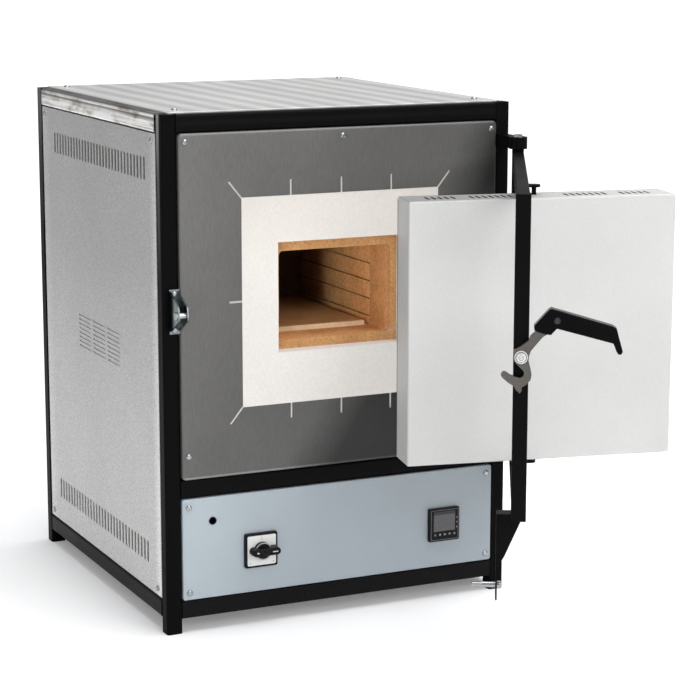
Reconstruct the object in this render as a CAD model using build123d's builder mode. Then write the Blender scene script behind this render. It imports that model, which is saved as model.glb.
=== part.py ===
from build123d import *
import os
from math import atan2, cos, degrees, hypot, radians, sin

os.makedirs("parts", exist_ok=True)

# Casing, mm. The origin is the middle of the footprint on the floor, the front looks to -Y.
WIDTH = 515
DEPTH = 525
HEIGHT = 700
TUBE = 25
POST = 22
TUBE_WALL = 2
TUBE_RADIUS = 3.5
SHEET = 1.5
LUG = 20
LUG_SHEET = 3
BOTTOM_RAIL_Z = 20
MIDDLE_RAIL_Z = 187
SHELF_RAIL = 20
SHELF = 2
TOP_SHEET = 2
TOP_INSET_X = 13
TOP_INSET_Y = 10

# Sheet panels
SIDE_RECESS = 1
SIDE_GAP = 1.5
TRAY_GAP = 0.5
TRAY_SEAT = 7
TRAY_CORNER = 6
TRAY_EDGE = 3
CONTROL_CORNER = 3
CONTROL_EDGE = 1.5
FRONT_PROUD = 5
FRONT_Z0 = 213
CONTROL_PROUD = 3
CONTROL_Z0 = 46.5
CONTROL_Z1 = 186
VENT_LENGTH = 31
VENT_WIDTH = 6.5
VENT_PITCH = 12.65
VENT_COUNT = 31
VENT_TOP_Z = HEIGHT - 75.5
VENT_BOTTOM_Z = 98.5
VENT_TOP_Y = 256
VENT_BOTTOM_Y = 265
FIELD_Z = 361
FIELD_SLIT = 50
FIELD_WIDTH = 2.4
FIELD_STEP = 62
FIELD_RISE = 6.4
FIELD_COLUMNS = 3
FIELD_ROWS = 8

# Heated chamber, its middle line and its board
CHAMBER_X = 256
CHAMBER_Z = 449
CHAMBER_W = 167
CHAMBER_H = 122
CHAMBER_CORNER = 7
CHAMBER_END = 326
COLLAR_END = 80
BOARD_Z = 446.8
BOARD_W = 292
BOARD_H = 282.5
BOARD_BACK = 17
BOARD_FLANGE = 26
HOLE_W = 187
HOLE_H = 149.5
HOLE_Z = 450.8
RELIEF_LENGTH = 21
RELIEF_WIDTH = 3
RELIEF_SPREAD = 16.7
RELIEF_RISE = 20.5
RELIEF_SHIFT = 2.5
RELIEF_SPACING = 74.5
MUFFLE_SIDE = 22
MUFFLE_TOP = 17.5
MUFFLE_BACK = 10
CORE_W = 345
CORE_TOP = 615
CORE_END = 400
HEATER_DEPTH = 13
GROOVE_PITCH = 25
GROOVE_WIDTH = 2.2
GROOVE_DEPTH = 4
WIRE = 1.8
HEARTH_W = 145
HEARTH = 7
HEARTH_Y = 75
SHEATH = 8
SHEATH_Z = 484
SHEATH_TIP = 296

# Control instruments
DIAL_X = 134.5
DIAL_Z = 105.5
PLATE_SIZE = 48
PLATE = 5
INSET_SIZE = 41.5
INSET = 1
KNOB_DISC = 28
SPINDLE = 8
METER_X = 415
METER_Z = 108.3
METER_PROUD = 6
SCREEN_W = 34
SCREEN_H = 28.8
SCREEN_RISE = 5
KEY_RISE = -13.8
KEY_PITCH = 7.6
KEY_W = 5
KEY_H = 4.4
KEY_GAP = 0.2
KEY_TRAVEL = 0.8
GATE_X = 65.5
GATE_Z = 153.5
GATE_HOLE = 8.4
GATE_RING = 10.8

# Swing frame of the door. Modelled open, as photographed, turned this far from shut.
HINGE_X = 502
HINGE_Y = -48
OPEN_TURN = 61.15
ARM = 16
ARM_WALL = 1.6
ARM_REACH = 464
UPPER_ARM_Z = 620
LOWER_ARM_Z = 244.5
HINGE_TOP = 640
HINGE_BOTTOM = 222
HINGE_PIN = 8
RUNNING = 0.05
THRUST = 0.2

# Door
DOOR_TURN = -11.7
PIVOT_S = 246
PIVOT_O = 17
DOOR_W = 350
DOOR_H = 335
DOOR_Z0 = 272.5
DOOR_FRONT = 36.5
DOOR_BACK = 16
DOOR_SHIFT = 1.8
DOOR_EDGE = 2.5
PIVOT_PIN = 6
PAD_W = 250
PAD_H = 230
PAD = 43.6

# Latch and keeper
LATCH_Z = 445.5
LATCH_PLATE = 5
LATCH_WASHER = 2
LATCH_BOLT = 8
KEEPER_PIN = 8
KEEPER_Y = -29
KEEPER_Z = 441


def from_left(x):
    return x - WIDTH / 2


def from_front(y):
    return y - DEPTH / 2


def block(x0, x1, y0, y1, z0, z1):
    """Box between casing distances: from the left, from the front, from the floor."""
    middle = Plane.XY.offset(z0)
    with BuildPart() as piece:
        with BuildSketch(middle):
            with Locations((from_left((x0 + x1) / 2), from_front((y0 + y1) / 2))):
                Rectangle(x1 - x0, y1 - y0)
        extrude(amount=z1 - z0)
    return piece.part


def square_tube(start, along, across, width, height, length, wall, radius):
    """Closed square tube that runs from a start point along a direction."""
    plane = Plane(origin=start, x_dir=across, z_dir=along)
    with BuildPart() as piece:
        with BuildSketch(plane):
            RectangleRounded(width, height, radius)
        extrude(amount=length)
        with BuildSketch(plane.offset(wall)):
            Rectangle(width - 2 * wall, height - 2 * wall)
        extrude(amount=length - 2 * wall, mode=Mode.SUBTRACT)
    return piece.part


def tray(x0, x1, z0, z1, proud, corner, edge):
    """Folded sheet panel with rounded rim, open to the back, face proud of the frame."""
    seat = Plane(origin=(from_left((x0 + x1) / 2), from_front(TRAY_SEAT), (z0 + z1) / 2),
                 x_dir=(1, 0, 0), z_dir=(0, -1, 0))
    width = x1 - x0
    height = z1 - z0
    depth = TRAY_SEAT + proud
    with BuildPart() as piece:
        with BuildSketch(seat):
            RectangleRounded(width, height, corner)
        extrude(amount=depth)
        fillet(piece.faces().sort_by(Axis.Y)[0].edges(), edge)
        with BuildSketch(seat):
            RectangleRounded(width - 2 * SHEET, height - 2 * SHEET, corner - SHEET)
        extrude(amount=depth - SHEET, mode=Mode.SUBTRACT)
    return piece.part


# Planes of the faces that carry things
FRONT_PLANE = Plane(origin=(0, from_front(0), 0), x_dir=(1, 0, 0), z_dir=(0, -1, 0))
CONTROL_PLANE = FRONT_PLANE.offset(CONTROL_PROUD)
PANEL_PLANE = FRONT_PLANE.offset(FRONT_PROUD)
BACK_PLANE = Plane(origin=(0, from_front(DEPTH) - SIDE_RECESS, 0), x_dir=(-1, 0, 0), z_dir=(0, 1, 0))
LEFT_PLANE = Plane(origin=(from_left(SIDE_RECESS), 0, 0), x_dir=(0, -1, 0), z_dir=(-1, 0, 0))
RIGHT_PLANE = Plane(origin=(-from_left(SIDE_RECESS), 0, 0), x_dir=(0, 1, 0), z_dir=(1, 0, 0))
TOP_PLANE = Plane.XY.offset(HEIGHT + TOP_SHEET)

# Places of the casing screws, across and up on each face
SCREW_INSET = 31.5
SIDE_SCREW_INSET = 36.5
SCREW_TOP_Z = HEIGHT - TUBE - LUG / 2 - 1
SCREW_LOW_Z = BOTTOM_RAIL_Z + TUBE + LUG / 2 + 1.5
FRONT_LOW_Z = 245.5
CONTROL_TOP_Z = 175
TOP_SCREW_X = 34.5
TOP_SCREW_Y = 40
SCREW_X = WIDTH / 2 - SCREW_INSET
SIDE_SCREW_Y = DEPTH / 2 - SIDE_SCREW_INSET
BACK_SCREW_X = WIDTH / 2 - SIDE_SCREW_INSET
SCREW = 4
SCREW_HOLE = 4.3
SCREW_HEAD = 8.4
SCREW_DOME = 2.6
PANEL_SPOTS = [(-SCREW_X, SCREW_TOP_Z), (0, SCREW_TOP_Z), (SCREW_X, SCREW_TOP_Z),
               (-SCREW_X, FRONT_LOW_Z), (SCREW_X, FRONT_LOW_Z)]
CONTROL_SPOTS = [(x, z) for x in (-SCREW_X, SCREW_X) for z in (CONTROL_TOP_Z, SCREW_LOW_Z)]
SIDE_SPOTS = [(y, z) for y in (-SIDE_SCREW_Y, SIDE_SCREW_Y) for z in (SCREW_TOP_Z, SCREW_LOW_Z)]
BACK_SPOTS = [(x, z) for x in (-BACK_SCREW_X, BACK_SCREW_X) for z in (SCREW_TOP_Z, SCREW_LOW_Z)]
TOP_SPOTS = [(x, y) for x in (from_left(TOP_SCREW_X), -from_left(TOP_SCREW_X))
             for y in (from_front(TOP_SCREW_Y), -from_front(TOP_SCREW_Y))]
LUG_TOP = (HEIGHT - TUBE - LUG - 2, HEIGHT - TUBE)
LUG_LOW = (BOTTOM_RAIL_Z + TUBE, BOTTOM_RAIL_Z + TUBE + LUG + 2)
LUG_FRONT = (FRONT_LOW_Z - LUG / 2, FRONT_LOW_Z + LUG / 2)
LUG_CONTROL = (CONTROL_TOP_Z - LUG / 2, CONTROL_TOP_Z + LUG / 2)

# Four posts with the lugs that the panels are screwed to
with BuildPart() as front_posts:
    for side in (-1, 1):
        edge = side * (WIDTH / 2 - POST)
        add(square_tube((side * (WIDTH - POST) / 2, from_front(POST / 2), 0), (0, 0, 1), (1, 0, 0),
                        POST, POST, HEIGHT, TUBE_WALL, TUBE_RADIUS))
        for low, high in (LUG_TOP, LUG_FRONT, LUG_CONTROL, LUG_LOW):
            with BuildSketch(Plane.XY.offset(low)):
                with Locations((edge - side * LUG / 2, from_front(TRAY_SEAT + LUG_SHEET / 2))):
                    Rectangle(LUG, LUG_SHEET)
            extrude(amount=high - low)
        for low, high in (LUG_TOP, LUG_LOW):
            lug_x = side * (WIDTH / 2 - SIDE_RECESS - SHEET - LUG_SHEET / 2)
            with BuildSketch(Plane.XY.offset(low)):
                with Locations((lug_x, from_front(POST + LUG / 2))):
                    Rectangle(LUG_SHEET, LUG)
            extrude(amount=high - low)
    with BuildSketch(FRONT_PLANE):
        with Locations(PANEL_SPOTS + CONTROL_SPOTS):
            Circle(SCREW_HOLE / 2)
    extrude(amount=-TRAY_SEAT - LUG_SHEET - 1, mode=Mode.SUBTRACT)
    with BuildSketch(LEFT_PLANE, RIGHT_PLANE):
        with Locations(SIDE_SPOTS):
            Circle(SCREW_HOLE / 2)
    extrude(amount=-SHEET - LUG_SHEET - 1, mode=Mode.SUBTRACT)
front_posts.part.label = "front_posts"
export_step(front_posts.part, "parts/front_posts.step")

with BuildPart() as rear_posts:
    for side in (-1, 1):
        edge = side * (WIDTH / 2 - POST)
        add(square_tube((side * (WIDTH - POST) / 2, -from_front(POST / 2), 0), (0, 0, 1), (1, 0, 0),
                        POST, POST, HEIGHT, TUBE_WALL, TUBE_RADIUS))
        for low, high in (LUG_TOP, LUG_LOW):
            lug_y = DEPTH / 2 - SIDE_RECESS - SHEET - LUG_SHEET / 2
            lug_x = side * (WIDTH / 2 - SIDE_RECESS - SHEET - LUG_SHEET / 2)
            with BuildSketch(Plane.XY.offset(low)):
                with Locations((edge - side * LUG / 2, lug_y)):
                    Rectangle(LUG, LUG_SHEET)
                with Locations((lug_x, -from_front(POST + LUG / 2))):
                    Rectangle(LUG_SHEET, LUG)
            extrude(amount=high - low)
    with BuildSketch(BACK_PLANE):
        with Locations(BACK_SPOTS):
            Circle(SCREW_HOLE / 2)
    extrude(amount=-SHEET - LUG_SHEET - 1, mode=Mode.SUBTRACT)
    with BuildSketch(LEFT_PLANE, RIGHT_PLANE):
        with Locations(SIDE_SPOTS):
            Circle(SCREW_HOLE / 2)
    extrude(amount=-SHEET - LUG_SHEET - 1, mode=Mode.SUBTRACT)
rear_posts.part.label = "rear_posts"
export_step(rear_posts.part, "parts/rear_posts.step")

# Rails between the posts
RAIL_X = WIDTH / 2 - POST
RAIL_Y = DEPTH / 2 - POST

with BuildPart() as top_cross_rails:
    for y in (from_front(POST / 2), -from_front(POST / 2)):
        add(square_tube((-RAIL_X, y, HEIGHT - TUBE / 2), (1, 0, 0), (0, 1, 0),
                        POST, TUBE, 2 * RAIL_X, TUBE_WALL, TUBE_RADIUS))
    with BuildSketch(Plane.XY.offset(LUG_TOP[0])):
        with Locations((0, from_front(TRAY_SEAT + LUG_SHEET / 2))):
            Rectangle(LUG, LUG_SHEET)
    extrude(amount=LUG_TOP[1] - LUG_TOP[0])
    with BuildSketch(FRONT_PLANE):
        with Locations(PANEL_SPOTS):
            Circle(SCREW_HOLE / 2)
    extrude(amount=-TRAY_SEAT - LUG_SHEET - 1, mode=Mode.SUBTRACT)
top_cross_rails.part.label = "top_cross_rails"
export_step(top_cross_rails.part, "parts/top_cross_rails.step")

with BuildPart() as top_side_rails:
    for side in (-1, 1):
        add(square_tube((side * (WIDTH - POST) / 2, -RAIL_Y, HEIGHT - TUBE / 2), (0, 1, 0), (1, 0, 0),
                        POST, TUBE, 2 * RAIL_Y, TUBE_WALL, TUBE_RADIUS))
        for y in (from_front(TOP_SCREW_Y), -from_front(TOP_SCREW_Y)):
            with BuildSketch(Plane.XY.offset(HEIGHT - LUG_SHEET)):
                with Locations((side * (RAIL_X - LUG / 2 + TUBE_WALL), y)):
                    Rectangle(LUG + 2 * TUBE_WALL, LUG)
            extrude(amount=LUG_SHEET)
    with BuildSketch(TOP_PLANE):
        with Locations(TOP_SPOTS):
            Circle(SCREW_HOLE / 2)
    extrude(amount=-TOP_SHEET - LUG_SHEET - 1, mode=Mode.SUBTRACT)
top_side_rails.part.label = "top_side_rails"
export_step(top_side_rails.part, "parts/top_side_rails.step")

with BuildPart() as bottom_cross_rails:
    for y in (from_front(POST / 2), -from_front(POST / 2)):
        add(square_tube((-RAIL_X, y, BOTTOM_RAIL_Z + TUBE / 2), (1, 0, 0), (0, 1, 0),
                        POST, TUBE, 2 * RAIL_X, TUBE_WALL, TUBE_RADIUS))
bottom_cross_rails.part.label = "bottom_cross_rails"
export_step(bottom_cross_rails.part, "parts/bottom_cross_rails.step")

with BuildPart() as bottom_side_rails:
    for side in (-1, 1):
        add(square_tube((side * (WIDTH - POST) / 2, -RAIL_Y, BOTTOM_RAIL_Z + TUBE / 2), (0, 1, 0),
                        (1, 0, 0), POST, TUBE, 2 * RAIL_Y, TUBE_WALL, TUBE_RADIUS))
bottom_side_rails.part.label = "bottom_side_rails"
export_step(bottom_side_rails.part, "parts/bottom_side_rails.step")

with BuildPart() as middle_rail:
    add(square_tube((-RAIL_X, from_front(POST / 2), MIDDLE_RAIL_Z + TUBE / 2), (1, 0, 0), (0, 1, 0),
                    POST, TUBE, 2 * RAIL_X, TUBE_WALL, TUBE_RADIUS))
middle_rail.part.label = "middle_rail"
export_step(middle_rail.part, "parts/middle_rail.step")

# Inner rails and the shelf that carries the heated chamber
SHELF_Z = MIDDLE_RAIL_Z + TUBE
SHELF_RAIL_X = WIDTH / 2 - TUBE + SHELF_RAIL / 2

with BuildPart() as shelf_rails:
    for side in (-1, 1):
        add(square_tube((side * SHELF_RAIL_X, -RAIL_Y, SHELF_Z - SHELF_RAIL / 2), (0, 1, 0),
                        (1, 0, 0), SHELF_RAIL, SHELF_RAIL, 2 * RAIL_Y, TUBE_WALL, 1))
shelf_rails.part.label = "shelf_rails"
export_step(shelf_rails.part, "parts/shelf_rails.step")

with BuildPart() as chamber_shelf:
    with BuildSketch(Plane.XY.offset(SHELF_Z)):
        Rectangle(2 * SHELF_RAIL_X, 2 * RAIL_Y)
        with GridLocations(60, 0, 6, 1):
            with Locations((0, RAIL_Y - 40)):
                SlotOverall(30, 8, rotation=90, mode=Mode.SUBTRACT)
    extrude(amount=SHELF)
chamber_shelf.part.label = "chamber_shelf"
export_step(chamber_shelf.part, "parts/chamber_shelf.step")

# Sheet panels of the casing
SIDE_W = 2 * RAIL_Y - 2 * SIDE_GAP
BACK_W = 2 * RAIL_X - 2 * SIDE_GAP
SIDE_Z0 = BOTTOM_RAIL_Z + TUBE + SIDE_GAP
SIDE_H = HEIGHT - TUBE - SIDE_GAP - SIDE_Z0

with BuildPart() as side_panel_left:
    with BuildSketch(LEFT_PLANE):
        with Locations((0, SIDE_Z0 + SIDE_H / 2)):
            Rectangle(SIDE_W, SIDE_H)
        with Locations(SIDE_SPOTS):
            Circle(SCREW_HOLE / 2, mode=Mode.SUBTRACT)
        with Locations((-from_front(VENT_TOP_Y), VENT_TOP_Z), (-from_front(VENT_BOTTOM_Y), VENT_BOTTOM_Z)):
            with GridLocations(VENT_PITCH, 0, VENT_COUNT, 1):
                SlotOverall(VENT_LENGTH, VENT_WIDTH, rotation=90, mode=Mode.SUBTRACT)
        with Locations((0, FIELD_Z)):
            with GridLocations(FIELD_STEP, FIELD_RISE, FIELD_COLUMNS, FIELD_ROWS):
                Rectangle(FIELD_SLIT, FIELD_WIDTH, mode=Mode.SUBTRACT)
    extrude(amount=-SHEET)
side_panel_left.part.label = "side_panel_left"
export_step(side_panel_left.part, "parts/side_panel_left.step")

with BuildPart() as side_panel_right:
    with BuildSketch(RIGHT_PLANE):
        with Locations((0, SIDE_Z0 + SIDE_H / 2)):
            Rectangle(SIDE_W, SIDE_H)
        with Locations(SIDE_SPOTS):
            Circle(SCREW_HOLE / 2, mode=Mode.SUBTRACT)
        with Locations((from_front(VENT_TOP_Y), VENT_TOP_Z), (from_front(VENT_BOTTOM_Y), VENT_BOTTOM_Z)):
            with GridLocations(VENT_PITCH, 0, VENT_COUNT, 1):
                SlotOverall(VENT_LENGTH, VENT_WIDTH, rotation=90, mode=Mode.SUBTRACT)
    extrude(amount=-SHEET)
side_panel_right.part.label = "side_panel_right"
export_step(side_panel_right.part, "parts/side_panel_right.step")

GLAND_X = 430
GLAND_Z = 100
GLAND_HOLE = 20

with BuildPart() as rear_panel:
    with BuildSketch(BACK_PLANE):
        with Locations((0, SIDE_Z0 + SIDE_H / 2)):
            Rectangle(BACK_W, SIDE_H)
        with Locations(BACK_SPOTS):
            Circle(SCREW_HOLE / 2, mode=Mode.SUBTRACT)
        with Locations((-from_left(GLAND_X), GLAND_Z)):
            Circle(GLAND_HOLE / 2, mode=Mode.SUBTRACT)
        with Locations((0, VENT_TOP_Z), (VENT_PITCH * 5, VENT_BOTTOM_Z)):
            with GridLocations(VENT_PITCH, 0, 20, 1):
                SlotOverall(VENT_LENGTH, VENT_WIDTH, rotation=90, mode=Mode.SUBTRACT)
    extrude(amount=-SHEET)
rear_panel.part.label = "rear_panel"
export_step(rear_panel.part, "parts/rear_panel.step")

with BuildPart() as top_cover:
    with BuildSketch(Plane.XY.offset(HEIGHT)):
        RectangleRounded(WIDTH - 2 * TOP_INSET_X, DEPTH - 2 * TOP_INSET_Y, 3)
        with Locations(TOP_SPOTS):
            Circle(SCREW_HOLE / 2, mode=Mode.SUBTRACT)
    extrude(amount=TOP_SHEET)
    fillet(top_cover.faces().sort_by(Axis.Z)[-1].outer_wire().edges(), TOP_SHEET / 2)
top_cover.part.label = "top_cover"
export_step(top_cover.part, "parts/top_cover.step")

with BuildPart() as base_plate:
    with BuildSketch(Plane.XY.offset(BOTTOM_RAIL_Z + TUBE)):
        Rectangle(2 * RAIL_X, DEPTH - TUBE)
        with GridLocations(30, 120, 10, 2):
            SlotOverall(50, 6, rotation=90, mode=Mode.SUBTRACT)
    extrude(amount=SHEET)
base_plate.part.label = "base_plate"
export_step(base_plate.part, "parts/base_plate.step")

# Front panel: tray with the opening for the board and its eight relief slots
BOARD_MID = (from_left(CHAMBER_X), BOARD_Z)

with BuildPart() as front_panel:
    add(tray(POST + TRAY_GAP, WIDTH - POST - TRAY_GAP, FRONT_Z0, HEIGHT - TUBE, FRONT_PROUD,
             TRAY_CORNER, TRAY_EDGE))
    with BuildSketch(PANEL_PLANE):
        with Locations(BOARD_MID):
            Rectangle(BOARD_W, BOARD_H)
        with Locations(BOARD_MID):
            with GridLocations(RELIEF_SPACING, BOARD_H + RELIEF_LENGTH, 3, 2):
                Rectangle(RELIEF_WIDTH, RELIEF_LENGTH)
        with Locations((BOARD_MID[0], BOARD_MID[1] + RELIEF_SHIFT)):
            with GridLocations(BOARD_W + RELIEF_LENGTH - 3, 0, 2, 1):
                Rectangle(RELIEF_LENGTH - 3, RELIEF_WIDTH)
        for side, rise in ((-1, 1), (1, -1), (1, 1), (-1, -1)):
            with Locations((BOARD_MID[0] + side * (BOARD_W + RELIEF_SPREAD) / 2,
                            BOARD_MID[1] + rise * (BOARD_H + RELIEF_RISE) / 2)):
                Rectangle(hypot(RELIEF_SPREAD, RELIEF_RISE) + RELIEF_WIDTH, RELIEF_WIDTH,
                          rotation=side * rise * degrees(atan2(RELIEF_RISE, RELIEF_SPREAD)))
        with Locations(PANEL_SPOTS):
            Circle(SCREW_HOLE / 2)
    extrude(amount=-SHEET - 0.5, mode=Mode.SUBTRACT)
front_panel.part.label = "front_panel"
export_step(front_panel.part, "parts/front_panel.step")

# Control panel: tray with cut-outs for the switch, the controller and the door pin
METER_BODY = 44.5
CUT_GAP = 0.2

with BuildPart() as control_panel:
    add(tray(POST + TRAY_GAP, WIDTH - POST - TRAY_GAP, CONTROL_Z0, CONTROL_Z1, CONTROL_PROUD,
             CONTROL_CORNER, CONTROL_EDGE))
    with BuildSketch(CONTROL_PLANE):
        with Locations(CONTROL_SPOTS):
            Circle(SCREW_HOLE / 2)
        with Locations((from_left(DIAL_X), DIAL_Z)):
            Circle(KNOB_DISC / 2 + CUT_GAP)
        with Locations((from_left(METER_X), METER_Z)):
            Rectangle(METER_BODY + 2 * CUT_GAP, METER_BODY + 2 * CUT_GAP)
        with Locations((from_left(GATE_X), GATE_Z)):
            Circle(GATE_RING / 2 - 0.5 + CUT_GAP / 2)
    extrude(amount=-SHEET - 0.5, mode=Mode.SUBTRACT)
control_panel.part.label = "control_panel"
export_step(control_panel.part, "parts/control_panel.step")

# Front board of the chamber: middle flush with the panel, wider flange behind the sheet
HOLE_MID = (from_left(CHAMBER_X), HOLE_Z)
BOARD_GAP = 0.2
BOARD_FACE = Plane(origin=(0, from_front(-FRONT_PROUD), 0), x_dir=(1, 0, 0), z_dir=(0, -1, 0))

with BuildPart() as front_board:
    with BuildSketch(BOARD_FACE.offset(-SHEET)):
        with Locations(BOARD_MID):
            Rectangle(BOARD_W + 2 * BOARD_FLANGE, BOARD_H + 2 * BOARD_FLANGE)
    extrude(amount=-(BOARD_BACK + FRONT_PROUD - SHEET))
    with BuildSketch(BOARD_FACE):
        with Locations(BOARD_MID):
            Rectangle(BOARD_W - 2 * BOARD_GAP, BOARD_H - 2 * BOARD_GAP)
    extrude(amount=-SHEET)
    with BuildSketch(BOARD_FACE):
        with Locations(HOLE_MID):
            Rectangle(HOLE_W, HOLE_H)
    extrude(amount=-BOARD_BACK - FRONT_PROUD, mode=Mode.SUBTRACT)
front_board.part.label = "front_board"
export_step(front_board.part, "parts/front_board.step")

# Muffle: ceramic box open to the front, with a recess in each side for a heater plate
MUFFLE_MID = (from_left(CHAMBER_X), CHAMBER_Z)
MUFFLE_FACE = Plane(origin=(0, from_front(BOARD_BACK), 0), x_dir=(1, 0, 0), z_dir=(0, -1, 0))
MUFFLE_W = CHAMBER_W + 2 * MUFFLE_SIDE
MUFFLE_H = CHAMBER_H + 2 * MUFFLE_TOP
MUFFLE_Z0 = CHAMBER_Z - MUFFLE_H / 2
MUFFLE_Z1 = CHAMBER_Z + MUFFLE_H / 2
MUFFLE_END = CHAMBER_END + MUFFLE_BACK
CHAMBER_Z0 = CHAMBER_Z - CHAMBER_H / 2
CHAMBER_X0 = CHAMBER_X - CHAMBER_W / 2
CHAMBER_X1 = CHAMBER_X + CHAMBER_W / 2
SHEATH_AXIS = Plane(origin=(from_left(CHAMBER_X), from_front(SHEATH_TIP), SHEATH_Z),
                    x_dir=(1, 0, 0), z_dir=(0, 1, 0))

with BuildPart() as muffle:
    with BuildSketch(MUFFLE_FACE):
        with Locations(MUFFLE_MID):
            Rectangle(MUFFLE_W, MUFFLE_H)
    extrude(amount=-(MUFFLE_END - BOARD_BACK))
    with BuildSketch(MUFFLE_FACE):
        with Locations(MUFFLE_MID):
            RectangleRounded(CHAMBER_W, CHAMBER_H, CHAMBER_CORNER)
    extrude(amount=-(CHAMBER_END - BOARD_BACK), mode=Mode.SUBTRACT)
    with BuildSketch(MUFFLE_FACE.offset(BOARD_BACK - COLLAR_END)):
        with Locations(MUFFLE_MID):
            Rectangle(CHAMBER_W + 2 * HEATER_DEPTH, CHAMBER_H)
    extrude(amount=-(CHAMBER_END - COLLAR_END), mode=Mode.SUBTRACT)
    with BuildSketch(SHEATH_AXIS):
        Circle(SHEATH / 2 + RUNNING)
    extrude(amount=CORE_END, mode=Mode.SUBTRACT)
muffle.part.label = "muffle"
export_step(muffle.part, "parts/muffle.step")

# Heater plates with five grooves each, and the wire that lies in every groove
GROOVE_ROWS = [CHAMBER_Z + row * GROOVE_PITCH for row in (-2, -1, 0, 1, 2)]
SEAT_GAP = 0.1

with BuildPart() as heater_plates:
    for side in (-1, 1):
        face = Plane(origin=(from_left(CHAMBER_X) + side * CHAMBER_W / 2, 0, 0),
                     x_dir=(0, side, 0), z_dir=(side, 0, 0))
        mid_y = side * from_front((COLLAR_END + CHAMBER_END) / 2)
        with BuildSketch(face):
            with Locations((mid_y, CHAMBER_Z)):
                Rectangle(CHAMBER_END - COLLAR_END - 2 * SEAT_GAP, CHAMBER_H - 2 * SEAT_GAP)
        extrude(amount=HEATER_DEPTH - SEAT_GAP)
        with BuildSketch(face):
            for row in GROOVE_ROWS:
                with Locations((mid_y, row)):
                    Rectangle(CHAMBER_END - COLLAR_END, GROOVE_WIDTH)
        extrude(amount=GROOVE_DEPTH, mode=Mode.SUBTRACT)
heater_plates.part.label = "heater_plates"
export_step(heater_plates.part, "parts/heater_plates.step")

with BuildPart() as heating_elements:
    for side in (-1, 1):
        wire_x = from_left(CHAMBER_X) + side * (CHAMBER_W / 2 + GROOVE_DEPTH - WIRE / 2 - SEAT_GAP)
        for row in GROOVE_ROWS:
            start = Plane(origin=(wire_x, from_front(COLLAR_END + 4), row), x_dir=(1, 0, 0),
                          z_dir=(0, 1, 0))
            with BuildSketch(start):
                Circle(WIRE / 2)
            extrude(amount=CHAMBER_END - COLLAR_END - 8)
heating_elements.part.label = "heating_elements"
export_step(heating_elements.part, "parts/heating_elements.step")

with BuildPart() as hearth_plate:
    with BuildSketch(Plane.XY.offset(CHAMBER_Z0)):
        with Locations((from_left(CHAMBER_X), from_front((HEARTH_Y + CHAMBER_END) / 2))):
            Rectangle(HEARTH_W, CHAMBER_END - HEARTH_Y)
    extrude(amount=HEARTH)
    chamfer(hearth_plate.faces().sort_by(Axis.Z)[-1].edges(), 1)
hearth_plate.part.label = "hearth_plate"
export_step(hearth_plate.part, "parts/hearth_plate.step")

# Insulation round the muffle
CORE_X0 = CHAMBER_X - CORE_W / 2
CORE_X1 = CHAMBER_X + CORE_W / 2
CORE_Z0 = SHELF_Z + SHELF

with BuildPart() as insulation_bottom:
    add(block(CORE_X0, CORE_X1, BOARD_BACK, MUFFLE_END, CORE_Z0, MUFFLE_Z0))
insulation_bottom.part.label = "insulation_bottom"
export_step(insulation_bottom.part, "parts/insulation_bottom.step")

with BuildPart() as insulation_sides:
    add(block(CORE_X0, CHAMBER_X - MUFFLE_W / 2, BOARD_BACK, MUFFLE_END, MUFFLE_Z0, MUFFLE_Z1))
    add(block(CHAMBER_X + MUFFLE_W / 2, CORE_X1, BOARD_BACK, MUFFLE_END, MUFFLE_Z0, MUFFLE_Z1))
insulation_sides.part.label = "insulation_sides"
export_step(insulation_sides.part, "parts/insulation_sides.step")

with BuildPart() as insulation_top:
    add(block(CORE_X0, CORE_X1, BOARD_BACK, MUFFLE_END, MUFFLE_Z1, CORE_TOP))
insulation_top.part.label = "insulation_top"
export_step(insulation_top.part, "parts/insulation_top.step")

with BuildPart() as insulation_rear:
    add(block(CORE_X0, CORE_X1, MUFFLE_END, CORE_END, CORE_Z0, CORE_TOP))
    with BuildSketch(SHEATH_AXIS):
        Circle(SHEATH / 2 + RUNNING)
    extrude(amount=CORE_END, mode=Mode.SUBTRACT)
insulation_rear.part.label = "insulation_rear"
export_step(insulation_rear.part, "parts/insulation_rear.step")

# Thermocouple: ceramic sheath with rounded tip and a connection head behind the insulation
with BuildPart() as thermocouple:
    with BuildSketch(SHEATH_AXIS):
        Circle(SHEATH / 2)
    extrude(amount=CORE_END - SHEATH_TIP)
    fillet(thermocouple.faces().sort_by(Axis.Y)[0].edges(), SHEATH / 2 - 0.5)
    with BuildSketch(SHEATH_AXIS.offset(CORE_END - SHEATH_TIP)):
        Circle(14)
    extrude(amount=6)
    with BuildSketch(SHEATH_AXIS.offset(CORE_END - SHEATH_TIP + 6)):
        RegularPolygon(11, 6)
    extrude(amount=16)
thermocouple.part.label = "thermocouple"
export_step(thermocouple.part, "parts/thermocouple.step")

# Temperature controller with its screen and five keys
METER_MID = (from_left(METER_X), METER_Z)
METER_FACE = CONTROL_PLANE.offset(METER_PROUD)
SCREEN_MID = (from_left(METER_X), METER_Z + SCREEN_RISE)
KEY_SPOTS = [(from_left(METER_X) + step * KEY_PITCH, METER_Z + KEY_RISE) for step in (-2, -1, 0, 1, 2)]
KEY_POCKET = 3
SCREEN = 1.2

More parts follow.
